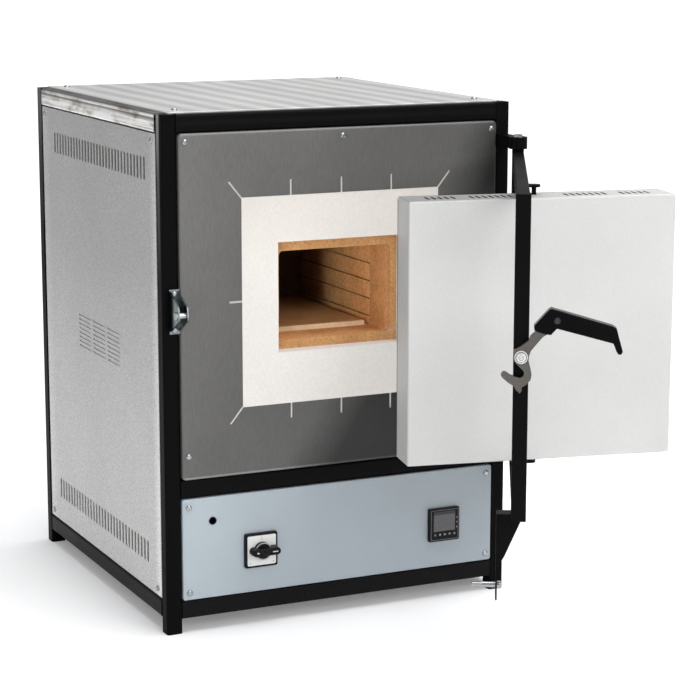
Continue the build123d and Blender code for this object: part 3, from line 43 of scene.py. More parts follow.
# Sizes of the part in mm, in its own frame
MM = 0.001
SIDE = 257.5
FRONT = -262.5
HEIGHT = 700
TUBE = 25
POST = 22
INNER_X = 235.5
INNER_Y = 240.5
SIDE_FACE = 256.5
REAR_FACE = 261.5
COVER_FACE = 702
PANEL_FACE = FRONT - 5
CONTROL_FACE = FRONT - 3
KEEPER_FACE = FRONT - 3
PANEL_HALF = 235
PANEL_LOW = 213
BOARD_LOW = 305.6
BOARD_TOP = 588
HOLE_LOW = 376
MOUTH = -244
HEATER_FRONT = FRONT + 80
HEARTH_FRONT = -187.5
CHAMBER_END = 70

# Door: its pivot axis, its turn in the pose of the photograph, and its edges
DOOR_PIVOT = Vector((140.691, -534.171, 0))
DOOR_TURN = math.radians(-11.7)
DOOR_ALONG = Vector((math.cos(DOOR_TURN), math.sin(DOOR_TURN), 0))
DOOR_OUT = Vector((math.sin(DOOR_TURN), -math.cos(DOOR_TURN), 0))
DOOR_LOW = 272.5
DOOR_TOP = 607.5


def make_camera():
    a = math.radians(CAMERA_AZIMUTH)
    e = math.radians(CAMERA_ELEVATION)
    r = math.radians(CAMERA_ROLL)
    back = Vector((math.sin(a) * math.cos(e), -math.cos(a) * math.cos(e), math.sin(e)))
    level = Vector((math.cos(a), math.sin(a), 0))
    upright = back.cross(level)
    right = math.cos(r) * level + math.sin(r) * upright
    up = math.cos(r) * upright - math.sin(r) * level
    data = bpy.data.cameras.new("camera")
    data.lens = CAMERA_LENS
    data.sensor_width = CAMERA_SENSOR
    data.clip_start = 0.05
    data.clip_end = 60
    cam = bpy.data.objects.new("camera", data)
    turn = Matrix((right, up, back)).transposed().to_4x4()
    cam.matrix_world = Matrix.Translation(Vector(CAMERA_PLACE)) @ turn
    bpy.context.collection.objects.link(cam)
    bpy.context.scene.camera = cam


make_camera()

# Node materials. Noise stays mostly between these two values.
NOISE_LOW = 0.3
NOISE_HIGH = 0.7


def fill_ramp(node, stops):
    elements = node.color_ramp.elements
    while len(elements) < len(stops):
        elements.new(0.5)
    for element, (place, color) in zip(elements, stops):
        element.position = place
        element.color = (*color, 1)


class Nodes:
    """A Principled material with short helpers for its nodes. Places are given in mm."""

    def __init__(self, name):
        self.material = bpy.data.materials.new(name)
        self.material.use_nodes = True
        self.tree = self.material.node_tree
        self.tree.nodes.clear()
        self.output = self.tree.nodes.new("ShaderNodeOutputMaterial")
        self.shader = self.tree.nodes.new("ShaderNodeBsdfPrincipled")
        self.link(self.shader.outputs["BSDF"], self.output.inputs["Surface"])
        self.place = self.tree.nodes.new("ShaderNodeTexCoord").outputs["Object"]

    def link(self, a, b):
        self.tree.links.new(a, b)

    def set(self, **values):
        for key, value in values.items():
            self.shader.inputs[key.replace("_", " ")].default_value = value

    def color(self, value):
        self.link(value, self.shader.inputs["Base Color"])

    def rough(self, value):
        self.link(value, self.shader.inputs["Roughness"])

    def bump(self, height, strength, distance):
        node = self.tree.nodes.new("ShaderNodeBump")
        node.inputs["Strength"].default_value = strength
        node.inputs["Distance"].default_value = distance
        self.link(height, node.inputs["Height"])
        self.link(node.outputs["Normal"], self.shader.inputs["Normal"])

    def scaled(self, scale, turn=(0, 0, 0)):
        node = self.tree.nodes.new("ShaderNodeMapping")
        node.inputs["Scale"].default_value = scale
        node.inputs["Rotation"].default_value = turn
        self.link(self.place, node.inputs["Vector"])
        return node.outputs["Vector"]

    def noise(self, scale, detail=3.0, rough=0.55, stretch=(1, 1, 1)):
        node = self.tree.nodes.new("ShaderNodeTexNoise")
        node.inputs["Scale"].default_value = scale
        node.inputs["Detail"].default_value = detail
        node.inputs["Roughness"].default_value = rough
        self.link(self.scaled(stretch), node.inputs["Vector"])
        return node.outputs["Fac"]

    def cells(self, scale):
        node = self.tree.nodes.new("ShaderNodeTexVoronoi")
        node.inputs["Scale"].default_value = scale
        self.link(self.place, node.inputs["Vector"])
        return node.outputs["Distance"]

    def waves(self, scale, distortion, stretch=(1, 1, 1), turn=(0, 0, 0)):
        node = self.tree.nodes.new("ShaderNodeTexWave")
        node.bands_direction = "X"
        node.inputs["Scale"].default_value = scale
        node.inputs["Distortion"].default_value = distortion
        self.link(self.scaled(stretch, turn), node.inputs["Vector"])
        return node.outputs["Fac"]

    def ramp(self, fac, stops):
        node = self.tree.nodes.new("ShaderNodeValToRGB")
        fill_ramp(node, stops)
        self.link(fac, node.inputs["Fac"])
        return node.outputs["Color"]

    def span(self, value, low, high, low_to=0, high_to=1):
        node = self.tree.nodes.new("ShaderNodeMapRange")
        for key, number in zip(("From Min", "From Max", "To Min", "To Max"), (low, high, low_to, high_to)):
            node.inputs[key].default_value = number
        self.link(value, node.inputs["Value"])
        return node.outputs["Result"]

    def vary(self, noise, low_to, high_to):
        """Noise turned into a number between two ends."""
        return self.span(noise, NOISE_LOW, NOISE_HIGH, low_to, high_to)

    def mottle(self, noise, dark, light):
        """Noise turned into a colour between two ends."""
        return self.ramp(noise, [(NOISE_LOW, dark), (NOISE_HIGH, light)])

    def along(self, axis, low, high, low_to=0, high_to=1):
        """Number that goes from one end to the other between two places on an axis."""
        node = self.tree.nodes.new("ShaderNodeSeparateXYZ")
        self.link(self.place, node.inputs["Vector"])
        return self.span(node.outputs[axis], low * MM, high * MM, low_to, high_to)

    def past(self, origin, direction, low, high, low_to=0, high_to=1):
        """The same between two distances from a point in a direction."""
        offset = self.tree.nodes.new("ShaderNodeVectorMath")
        offset.operation = "SUBTRACT"
        offset.inputs[1].default_value = origin * MM
        self.link(self.place, offset.inputs[0])
        reach = self.tree.nodes.new("ShaderNodeVectorMath")
        reach.operation = "DOT_PRODUCT"
        reach.inputs[1].default_value = direction
        self.link(offset.outputs["Vector"], reach.inputs[0])
        return self.span(reach.outputs["Value"], low * MM, high * MM, low_to, high_to)

    def times(self, color, fac):
        node = self.tree.nodes.new("ShaderNodeVectorMath")
        node.operation = "MULTIPLY"
        self.link(color, node.inputs[0])
        self.link(fac, node.inputs[1])
        return node.outputs["Vector"]

    def math(self, operation, a, b):
        node = self.tree.nodes.new("ShaderNodeMath")
        node.operation = operation
        self.link(a, node.inputs[0])
        self.link(b, node.inputs[1])
        return node.outputs["Value"]

    def add(self, a, b):
        return self.math("ADD", a, b)

    def product(self, first, *others):
        """Product of single numbers, such as masks."""
        for other in others:
            first = self.math("MULTIPLY", first, other)
        return first

    def blend(self, fac, a, b):
        node = self.tree.nodes.new("ShaderNodeMix")
        node.data_type = "RGBA"
        self.link(fac, node.inputs[0])
        self.link(a, node.inputs[6])
        self.link(b, node.inputs[7])
        return node.outputs[2]

    def fade(self, color, axis, low, high, stops):
        """Colour times a tone that changes along an axis."""
        return self.times(color, self.ramp(self.along(axis, low, high), stops))


def grey(value):
    return (value, value, value)


def shades(color, spread):
    dark = tuple(max(0.0, c * (1 - spread)) for c in color)
    light = tuple(min(1.0, c * (1 + spread)) for c in color)
    return dark, light


def paint(name, color, rough, spread=0.06, grain=900, bump=0.25, depth=0.0002, shine=0.5, fades=()):
    """Powder coat: fine orange peel, faint mottling in colour and gloss, and painted light and shade along
    axes.
    """
    m = Nodes(name)
    fine = m.noise(grain, 2.0)
    broad = m.noise(9, 4.0)
    tint = m.times(m.mottle(fine, *shades(color, spread)), m.vary(broad, 0.96, 1.04))
    for fade in fades:
        tint = m.fade(tint, *fade)
    m.color(tint)
    m.rough(m.vary(broad, rough - 0.04, rough + 0.04))
    m.bump(fine, bump, depth)
    m.set(Specular_IOR_Level=shine)
    return m.material


def brushed(name, color, rough, grain=(1, 1, 1), spread=0.12, metal=0.85, bump=0.12):
    """Brushed metal: noise drawn out along the grain."""
    m = Nodes(name)
    dark, light = shades(color, spread)
    lines = m.noise(700, 3.0, 0.7, grain)
    broad = m.noise(6, 3.0)
    m.color(m.times(m.ramp(lines, [(0.25, dark), (0.75, light)]), m.vary(broad, 0.95, 1.05)))
    m.rough(m.vary(lines, rough - 0.07, rough + 0.07))
    m.bump(lines, bump, 0.0001)
    m.set(Metallic=metal)
    return m.material


def ceramic(name, color, rough, spread, grain=260, bump=0.5, fades=()):
    """Matt fired or pressed ceramic: pits, fibres and cloudy tone."""
    m = Nodes(name)
    fine = m.noise(grain, 6.0, 0.65)
    broad = m.noise(22, 5.0, 0.6)
    tint = m.mottle(broad, *shades(color, spread))
    for fade in fades:
        tint = m.fade(tint, *fade)
    m.color(m.times(tint, m.vary(fine, 0.94, 1.05)))
    m.bump(m.add(fine, m.span(m.cells(420), 0.0, 0.4, 0.0, 0.4)), bump, 0.0006)
    m.set(Roughness=rough)
    return m.material


def plastic(name, color, rough, spread=0.1, grain=1400, shine=0.5):
    """Moulded plastic with a fine eroded texture."""
    m = Nodes(name)
    fine = m.noise(grain, 2.0)
    m.color(m.mottle(fine, *shades(color, spread)))
    m.rough(m.vary(m.noise(40, 3.0), rough - 0.04, rough + 0.05))
    m.bump(fine, 0.1, 0.0001)
    m.set(Specular_IOR_Level=shine)
    return m.material


def rail_painted_sheen(name):
    """Top side rails: light grey with streaks and darker bands near its edges, a painted reflection on the
    black frame, with patches of lighter and darker, warmer tone.
    """
    m = Nodes(name)
    streaks = m.noise(320, 4.0, 0.7, (1, 0.012, 1))
    tone_patches = m.noise(42, 4.0, 0.6, (1, 0.3, 1))
    # Painted reflection: light and dark bands up the rail stand in for bright surroundings mirrored in the
    # black paint
    bands = [(0.0, grey(0.60)), (0.10, grey(0.95)), (0.16, grey(0.74)), (0.40, grey(0.92)),
             (0.60, grey(0.70)), (0.70, grey(0.20)), (0.75, grey(0.16)), (0.80, grey(0.74)),
             (0.90, grey(0.66)), (0.95, grey(0.10)), (1.0, grey(0.08))]
    # Patches of lighter and darker, warmer tone
    patch_tone = [(0.40, (1.18, 1.17, 1.14)), (0.53, (0.92, 0.89, 0.84)), (0.64, (0.42, 0.36, 0.31))]
    tint = m.times(m.ramp(m.along("Z", HEIGHT - TUBE, HEIGHT), bands), m.vary(streaks, 0.60, 1.60))
    m.color(m.times(tint, m.ramp(tone_patches, patch_tone)))
    m.rough(m.vary(streaks, 0.34, 0.5))
    m.bump(streaks, 0.2, 0.0001)
    m.set(Metallic=0.1)
    return m.material


def kiln_brick(name):
    """Muffle: orange-tan at the mouth, with painted shade darker inwards, speckled, and with pale worn
    spots.
    """
    m = Nodes(name)
    fine = m.noise(240, 6.0, 0.65)
    speck = m.cells(150)
    # Painted shade: lighter at the mouth and darker deeper in the chamber
    depth = [(0.0, grey(1.04)), (0.03, grey(1.42)), (0.2, grey(1.34)), (0.6, grey(0.50)), (1.0, grey(0.16))]
    tint = m.mottle(m.noise(24, 5.0, 0.6), (0.49, 0.25, 0.100), (0.61, 0.335, 0.148))
    tint = m.fade(tint, "Y", MOUTH - 2, CHAMBER_END, depth)
    tint = m.times(tint, m.span(speck, 0.03, 0.3, 0.70, 1.04))
    tint = m.times(tint, m.vary(fine, 0.78, 1.18))
    # Worn spots: on the lower lip, most of all to the left, and in the lower right corner of the mouth
    lip = m.product(m.along("Y", MOUTH + 1, MOUTH), m.along("Z", HOLE_LOW + 3.5, HOLE_LOW + 1),
                    m.along("X", -60, -82, 0.12, 0.8))
    corner = m.product(m.along("Y", MOUTH + 16, MOUTH + 10), m.along("Z", HOLE_LOW + 21.5, HOLE_LOW + 16.5),
                       m.along("X", 68, 78, 0, 0.45))
    worn = m.product(m.span(m.noise(150, 4.0, 0.6), 0.50, 0.60), m.add(lip, corner))
    m.color(m.blend(worn, tint, m.mottle(fine, (0.62, 0.50, 0.38), (0.85, 0.76, 0.64))))
    m.bump(m.add(fine, m.span(speck, 0.0, 0.3, 0.0, 0.5)), 0.5, 0.0006)
    m.set(Roughness=0.95, Specular_IOR_Level=0.15)
    return m.material


def kiln_plate(name):
    """Heater plates: orange-tan at the front, with painted shade to dark brown at the back, speckled."""
    m = Nodes(name)
    fine = m.noise(260, 6.0, 0.65)
    speck = m.cells(170)
    # Painted shade: lighter at the front, darker deeper in the chamber
    depth = [(0.0, grey(1.1)), (0.3, grey(0.9)), (0.7, grey(0.45)), (1.0, grey(0.2))]
    tint = m.mottle(m.noise(30, 5.0, 0.6), (0.78, 0.405, 0.155), (0.95, 0.56, 0.245))
    tint = m.fade(tint, "Y", HEATER_FRONT, CHAMBER_END, depth)
    tint = m.times(tint, m.span(speck, 0.05, 0.4, 0.78, 1.05))
    m.color(m.times(tint, m.vary(fine, 0.76, 1.20)))
    m.bump(m.add(fine, m.span(speck, 0.0, 0.3, 0.0, 0.5)), 0.5, 0.0005)
    m.set(Roughness=0.95, Specular_IOR_Level=0.15)
    return m.material


def hearth_brick(name):
    """Hearth plate: brown on top, with painted shade darker to the back, and a pale front edge."""
    m = Nodes(name)
    fine = m.noise(260, 6.0, 0.65)
    # Painted shade: lighter at the front, darker deeper in the chamber
    depth = [(0.0, grey(1.12)), (0.4, grey(0.78)), (1.0, grey(0.35))]
    tint = m.mottle(m.noise(24, 5.0, 0.6), (0.51, 0.32, 0.145), (0.66, 0.43, 0.21))
    tint = m.fade(tint, "Y", HEARTH_FRONT - 12.5, CHAMBER_END, depth)
    edge = m.mottle(m.noise(60, 3.0), (0.90, 0.69, 0.44), (0.98, 0.82, 0.58))
    front = m.along("Y", HEARTH_FRONT + 1.2, HEARTH_FRONT + 0.4)
    m.color(m.times(m.blend(front, tint, edge), m.vary(fine, 0.9, 1.07)))
    m.bump(fine, 0.5, 0.0005)
    m.set(Roughness=0.95, Specular_IOR_Level=0.15)
    return m.material


def sheet_steel(name):
    """Front panel: dark grey brushed sheet, with painted shade darker down to the right and a painted
    highlight along its lower fold.
    """
    m = Nodes(name)
    grain = m.noise(900, 3.0, 0.6, (1, 1, 0.10))
    # Painted shade and reflection: lighter to the upper left, darker down to the right
    tone = [(0.0, grey(1.18)), (0.27, grey(1.01)), (0.42, grey(0.84)), (0.57, grey(0.84)),
            (0.67, grey(0.25)), (1.0, grey(0.12))]
    shade_slope = m.add(m.along("X", -PANEL_HALF, PANEL_HALF, 0, 0.62), m.along("Z", PANEL_LOW, 680, 0.38, 0))
    tint = m.ramp(grain, [(0.25, (0.128, 0.126, 0.122)), (0.75, (0.176, 0.173, 0.168))])
    tint = m.times(tint, m.ramp(shade_slope, tone))
    # Painted highlight along the lower fold of the panel
    fold = [(0.0, grey(2.4)), (0.55, grey(2.2)), (0.8, grey(1.0))]
    tint = m.fade(tint, "Z", PANEL_LOW - 0.5, PANEL_LOW + 5.5, fold)
    m.color(m.times(tint, m.vary(m.noise(5, 3.0), 0.92, 1.08)))
    m.rough(m.vary(grain, 0.40, 0.50))
    m.bump(grain, 0.15, 0.0001)
    m.set(Metallic=0.55, Specular_IOR_Level=0.4)
    return m.material


def door_sheet(name):
    """Door: off-white powder coat, with painted shade on its near end, to the left on its top, and in its
    slots.
    """
    m = Nodes(name)
    fine = m.noise(700, 2.0)
    broad = m.noise(7, 4.0)
    shade = [(0.0, grey(0.42)), (0.35, grey(0.50)), (0.55, grey(0.74)), (1.0, grey(0.92))]
    tint = m.mottle(fine, (0.605, 0.607, 0.592), (0.665, 0.667, 0.652))
    tint = m.times(tint, m.vary(broad, 0.965, 1.035))
    # Painted shade: the top face darker to the left
    top = m.along("Z", DOOR_TOP - 1.3, DOOR_TOP - 0.3)
    tint = m.blend(top, tint, m.fade(tint, "X", -30, 310, shade))
    # Painted shade: the near end of the door darker
    tint = m.times(tint, m.past(DOOR_PIVOT, DOOR_ALONG, -172, -171, 0.80, 1.0))
    # Painted shade: faces inside the door, seen through its slots, almost black
    inside = m.product(
        m.past(DOOR_PIVOT, DOOR_OUT, 34.5, 34.0),
        m.past(DOOR_PIVOT, DOOR_OUT, -15, -14),
        m.past(DOOR_PIVOT, DOOR_ALONG, -171.6, -170.6),
        m.past(DOOR_PIVOT, DOOR_ALONG, 175.4, 174.4),
        m.along("Z", DOOR_TOP - 0.4, DOOR_TOP - 0.6),
        m.along("Z", DOOR_LOW + 0.4, DOOR_LOW + 0.6),
    )
    m.color(m.times(tint, m.span(inside, 0, 1, 1.0, 0.08)))
    m.rough(m.vary(broad, 0.30, 0.38))
    m.bump(fine, 0.3, 0.0002)
    m.set(Specular_IOR_Level=0.2)
    return m.material


def top_sheet(name):
    """Top cover: satin sheet with faint rolling bands from front to back, a painted reflection."""
    m = Nodes(name)
    # Painted reflection: faint light and dark bands from front to back
    bands = m.waves(7.5, 1.8, (1, 0.12, 1), (0, 0, -0.05))
    cloud = m.noise(11, 3.0, 0.5, (1, 0.3, 1))
    fine = m.noise(700, 2.0)
    tint = m.ramp(bands, [(0.1, (0.445, 0.445, 0.435)), (0.9, (0.545, 0.545, 0.535))])
    tint = m.times(tint, m.vary(cloud, 0.92, 1.08))
    m.color(m.times(tint, m.vary(fine, 0.95, 1.05)))
    m.rough(m.span(bands, 0, 1, 0.33, 0.40))
    m.bump(fine, 0.2, 0.0001)
    m.set(Metallic=0.2)
    return m.material


def post_black_sheen(name):
    """Posts: the black of the frame, with a painted sheen high on their outer side faces, a painted
    reflection.
    """
    m = Nodes(name)
    fine = m.noise(800, 2.0)
    streaks = m.noise(300, 3.0, 0.6, (1, 1, 0.04))
    # Painted reflection: a streaky light sheen growing towards the top, only on the outer side faces
    height = [(0.0, grey(0.004)), (0.35, grey(0.007)), (0.75, grey(0.12)), (1.0, grey(0.32))]
    sheen_across = [(0.0, grey(0.35)), (0.06, grey(0.35)), (0.12, grey(0.0)), (0.26, grey(0.0)), (0.32, grey(1.0)),
              (0.66, grey(1.0)), (0.76, grey(0.0)), (0.98, grey(0.0)), (1.0, grey(0.45))]
    base = m.mottle(fine, (0.0043, 0.0043, 0.0046), (0.0057, 0.0057, 0.0062))
    sheen = m.times(m.ramp(m.along("Z", 360, HEIGHT), height), m.vary(streaks, 0.7, 1.2))
    sheen = m.fade(sheen, "Y", FRONT, FRONT + POST, sheen_across)
    outer = m.along("X", 0.1 - SIDE, 0.7 - SIDE, 1, 0)
    m.color(m.blend(outer, base, sheen))
    m.bump(fine, 0.2, 0.0002)
    m.set(Roughness=0.32, Specular_IOR_Level=0.02)
    return m.material


# Painted light and shade, each as an axis, its two ends and the tones between them
# Painted sheen: a lighter band across the middle of the top rails
TOP_RAIL_SHEEN = ("Z", HEIGHT - TUBE, HEIGHT, [
    (0.0, grey(1.0)), (0.30, grey(1.0)), (0.44, grey(1.5)), (0.58, grey(1.5)), (0.70, grey(1.0))])
# Painted sheen: everything black lighter low down, on the bottom rails
BOTTOM_RAIL_SHEEN = ("Z", 18, 47, [(0.0, grey(2.0)), (0.9, grey(2.0)), (1.0, grey(1.0))])
# Painted shade: side and rear panels darker towards the top, lighter low down where the floor lights them
SIDE_SHADE = ("Z", 50, 680, [(0.0, grey(1.04)), (0.35, grey(0.88)), (0.7, grey(0.67)), (1.0, grey(0.66))])
# Painted highlight: side panels lighter along their front and rear folded edges
EDGE_HIGHLIGHT = ("Y", -239, 239, [
    (0.0, grey(1.45)), (0.02, grey(1.30)), (0.05, grey(1.02)), (0.5, grey(0.98)), (0.93, grey(1.04)),
    (1.0, grey(1.28))])
# Painted shade: control panel lighter to the left, darker to the right
CONTROL_SHADE = ("X", -PANEL_HALF, PANEL_HALF, [(0.0, grey(1.2)), (0.4, grey(1.04)), (1.0, grey(0.92))])
# Painted shade: front board lighter low down, darker and warmer towards its top
BOARD_SHADE = ("Z", BOARD_LOW, BOARD_TOP, [
    (0.0, (1.10, 1.085, 1.08)), (0.45, grey(0.99)), (0.75, (0.98, 0.97, 0.955)),
    (1.0, (0.935, 0.915, 0.895))])

posts_painted_sheen = post_black_sheen("posts_painted_sheen")
frame_black = paint("frame_black", (0.0050, 0.0050, 0.0054), 0.30, spread=0.15, grain=800, bump=0.2,
                    shine=0.035, fades=[TOP_RAIL_SHEEN, BOTTOM_RAIL_SHEEN])
side_grey = paint("side_grey", (0.66, 0.66, 0.645), 0.42, spread=0.24, grain=420, bump=0.8, depth=0.0003,
                  shine=0.3, fades=[SIDE_SHADE, EDGE_HIGHLIGHT])
rear_grey = paint("rear_grey", (0.60, 0.60, 0.585), 0.42, spread=0.20, grain=420, bump=0.7, depth=0.0003,
                  shine=0.3, fades=[SIDE_SHADE])
top_cover = top_sheet("top_cover")
panel_grey = sheet_steel("panel_grey")
control_grey = paint("control_grey", (0.37, 0.42, 0.455), 0.36, spread=0.04, bump=0.15, shine=0.4,
                     fades=[CONTROL_SHADE])
door_grey = door_sheet("door_grey")
zinc_sheet = brushed("zinc_sheet", (0.45, 0.45, 0.47), 0.4, (0.1, 1, 1))
rail_sheen = rail_painted_sheen("rail_sheen")
board_white = ceramic("board_white", (0.745, 0.722, 0.688), 0.95, 0.015, 300, 0.15, [BOARD_SHADE])
muffle_tan = kiln_brick("muffle_tan")
heater_tan = kiln_plate("heater_tan")
hearth_tan = hearth_brick("hearth_tan")
wire_dark = brushed("wire_dark", (0.46, 0.26, 0.115), 0.6, (1, 0.05, 1), metal=0.1)
sheath_white = ceramic("sheath_white", (0.6, 0.56, 0.5), 0.7, 0.05)
black_plastic = plastic("black_plastic", (0.007, 0.007, 0.008), 0.30, shine=0.12)
handle_black = plastic("handle_black", (0.0028, 0.0028, 0.0034), 0.2, shine=0.06)
screen_grey = plastic("screen_grey", (0.085, 0.083, 0.088), 0.25, 0.04)
gloss_dark = plastic("gloss_dark", (0.012, 0.012, 0.014), 0.16)
rim_grey = plastic("rim_grey", (0.16, 0.16, 0.165), 0.35)
ring_grey = plastic("ring_grey", (0.34, 0.34, 0.35), 0.3)
mark_grey = plastic("mark_grey", (0.42, 0.42, 0.43), 0.5, 0.05)
mark_white = plastic("mark_white", (0.72, 0.72, 0.72), 0.5, 0.04)
white_plastic = plastic("white_plastic", (0.80, 0.80, 0.79), 0.4, 0.03)
seam_and_shade_dark = plastic("seam_and_shade_dark", (0.055, 0.055, 0.052), 0.6, 0.15, 900, 0.2)
aluminium = brushed("aluminium", (0.5, 0.5, 0.52), 0.35, (1, 0.05, 1))
zinc = brushed("zinc", (0.40, 0.41, 0.42), 0.24, spread=0.2, metal=1.0)
keeper_zinc = brushed("keeper_zinc", (0.20, 0.225, 0.23), 0.17, spread=0.3, metal=1.0)
hook_steel = brushed("hook_steel", (0.132, 0.120, 0.108), 0.36, spread=0.38, metal=0.6, bump=0.2)
nut_steel = brushed("nut_steel", (0.92, 0.92, 0.90), 0.3, spread=0.1, metal=0.9)
# Dark steel for the handle screw; painted shade in the screw sockets and behind the rail gaps
dark_steel_and_shade = brushed("dark_steel_and_shade", (0.05, 0.05, 0.055), 0.4, spread=0.2, metal=0.6)

LOOKS = [
    (posts_painted_sheen, ["front_posts", "rear_posts"]),
    (frame_black, ["top_cross_rails", "bottom_cross_rails", "bottom_side_rails", "middle_rail",
                   "shelf_rails", "hinge_brackets", "hinge_tube", "upper_arm", "lower_arm", "latch_bar",
                   "door_pivots", "interlock_bracket"]),
    (dark_steel_and_shade, ["handle_screw"]),
    (rail_sheen, ["top_side_rails"]),
    (side_grey, ["side_panel_left", "side_panel_right"]),
    (rear_grey, ["rear_panel"]),
    (top_cover, ["top_cover"]),
    (panel_grey, ["front_panel"]),
    (control_grey, ["control_panel"]),
    (zinc_sheet, ["chamber_shelf", "base_plate", "door_back_plate"]),
    (door_grey, ["door_shell"]),
    (board_white, ["front_board", "insulation_top", "insulation_bottom", "insulation_sides",
                   "insulation_rear", "door_insulation"]),
    (muffle_tan, ["muffle"]),
    (heater_tan, ["heater_plates"]),
    (hearth_tan, ["hearth_plate"]),
    (wire_dark, ["heating_elements"]),
    (sheath_white, ["thermocouple"]),
    (black_plastic, ["controller", "cam_switch", "switch_knob", "interlock_switch", "cable_gland",
                     "interlock_grommet"]),
    (handle_black, ["latch_handle"]),
    (screen_grey, ["controller_display"]),
    (gloss_dark, ["key_1", "key_2", "key_3", "key_4", "key_5"]),
    (white_plastic, ["switch_plate", "terminal_block", "interlock_plunger"]),
    (aluminium, ["power_relay"]),
    (zinc, ["casing_screws", "keeper_pin", "interlock_pin"]),
    (keeper_zinc, ["keeper_bracket"]),
    (nut_steel, ["latch_bolt"]),
    (hook_steel, ["hook_lever"]),
]
for look, names in LOOKS:
    for name in names:
        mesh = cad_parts[name].data
        mesh.materials.clear()
        mesh.materials.append(look)

# Small pieces that the solids leave out, in mm, with the thicknesses of what is printed on a face
LINE = 0.04
MARK = 0.05
POINTER = 0.06
TO_FRONT = Matrix(((1, 0, 0), (0, 0, -1), (0, 1, 0))).to_4x4()


def finish_piece(shape, name, look, body):
    bmesh.ops.scale(shape, vec=(MM, MM, MM), verts=shape.verts)
    mesh = bpy.data.meshes.new(name)
    shape.to_mesh(mesh)
    shape.free()
    obj = bpy.data.objects.new(name, mesh)
    bpy.context.collection.objects.link(obj)
    mesh.materials.append(look)
    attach(obj, body)


def add_prism(shape, outline, height, matrix):
    """Outline in the plane, raised by a height, both placed by a matrix."""
    base = [shape.verts.new(matrix @ Vector((u, v, 0))) for u, v in outline]
    top = [shape.verts.new(matrix @ Vector((u, v, height))) for u, v in outline]
    count = len(outline)
    shape.faces.new(list(reversed(base)))
    shape.faces.new(top)
    for k in range(count):
        shape.faces.new((base[k], base[(k + 1) % count], top[(k + 1) % count], top[k]))


def add_ring(shape, outer, inner, height, matrix):
    """Flat ring between two outlines with the same number of points."""
    rows = []
    for outline, level in ((outer, 0), (outer, height), (inner, height), (inner, 0)):
        rows.append([shape.verts.new(matrix @ Vector((u, v, level))) for u, v in outline])
    count = len(outer)
    for a, b in ((0, 1), (1, 2), (2, 3), (3, 0)):
        for k in range(count):
            shape.faces.new((rows[a][k], rows[a][(k + 1) % count], rows[b][(k + 1) % count], rows[b][k]))


def round_outline(radius, sides, u=0.0, v=0.0):
    steps = [math.tau * k / sides for k in range(sides)]
    return [(u + radius * math.cos(a), v + radius * math.sin(a)) for a in steps]


def square_outline(width, height, u=0.0, v=0.0):
    return [(u - width / 2, v - height / 2), (u + width / 2, v - height / 2),
            (u + width / 2, v + height / 2), (u - width / 2, v + height / 2)]


def front_at(place, depth):
    """Matrix whose x runs right, y up and z out of a front face, at a place on it and a depth."""
    return Matrix.Translation((place[0], depth, place[1])) @ TO_FRONT


def facing(normal, place):
    """Matrix whose z runs along a normal."""
    turn = Vector((0, 0, 1)).rotation_difference(Vector(normal)).to_matrix().to_4x4()
    return Matrix.Translation(Vector(place)) @ turn


def door_at(depth):
    """Matrix whose x runs along the door, y up and z out of its front, at a depth from its pivots."""
    axes = Matrix((DOOR_ALONG, (0, 0, 1), DOOR_OUT)).transposed().to_4x4()
    return Matrix.Translation(DOOR_PIVOT + DOOR_OUT * depth) @ axes


# Painted shade and light: dark strips and sheets behind gaps and slots, a pale sheet behind slits, and
# shadow lines
STRIP_X = 252.6
STRIP_LENGTH = 470
STRIP_HEIGHT = 7
RAIL_GAPS = (674.3, 45.8)
SLIT_BACK_X = 254.5
SLIT_BACK_Z = 306
SLIT_BACK_SIZE = (230, 110)
BACK_SHEET = 0.6
DOOR_MIDDLE = 1.8
DOOR_BACK = -16
END_SEAM_X = -172.75
END_SEAM = (1.0, 328, 2.6)
EDGE_SEAM = (343, 0.9, 1.8)
SLOT_BACK_INSET = 4.1
SLOT_BACK_SPANS = ((-165, -9), (9, 168))
SLOT_BACK_DEPTH = (-12, 32)
LATCH_AXIS = Vector((12.891, -730.925, 445.5))
ARM_TURN = math.radians(61.15)
LATCH_OUT = Vector((-math.cos(ARM_TURN), -math.sin(ARM_TURN), 0))
NUT_FACE = 8.5
NUT_LINE = (6.7, 5.7)
BOLT_END = 13
BOLT_LINE = (3.1, 2.5)
BOLT_SLOT = (4.0, 0.6)


def make_rail_gap_shade():
    """Painted shade: dark strips inside the casing, behind the gaps between the side rails and the side
    panels.
    """
    shape = bmesh.new()
    for side in (-1, 1):
        for level in RAIL_GAPS:
            at = Matrix.Translation((side * STRIP_X, 0, level - STRIP_HEIGHT / 2))
            add_prism(shape, square_outline(BACK_SHEET, STRIP_LENGTH), STRIP_HEIGHT, at)
    finish_piece(shape, "rail_gap_shade", dark_steel_and_shade, "furnace")


def make_slit_light_backs():
    """Painted light: pale sheet close behind the slit fields of the side panels, so the slits read light
    instead of shaded.
    """
    shape = bmesh.new()
    length, height = SLIT_BACK_SIZE
    for side in (-1, 1):
        at = Matrix.Translation((side * SLIT_BACK_X, 0, SLIT_BACK_Z))
        add_prism(shape, square_outline(0.5, length), height, at)
    finish_piece(shape, "slit_light_backs", mark_white, "furnace")


def make_door_seam():
    """Dark back edge of the door, deepened as painted shadow in the gap behind it, on its near end, top and
    bottom.
    """
    shape = bmesh.new()
    at = door_at(DOOR_BACK)
    width, height, depth = END_SEAM
    add_prism(shape, square_outline(width, height, END_SEAM_X, (DOOR_LOW + DOOR_TOP) / 2), depth, at)
    width, height, depth = EDGE_SEAM
    for level in (DOOR_TOP - 0.4, DOOR_LOW + 0.4):
        add_prism(shape, square_outline(width, height, DOOR_MIDDLE, level), depth, at)
    finish_piece(shape, "door_seam", seam_and_shade_dark, "door")


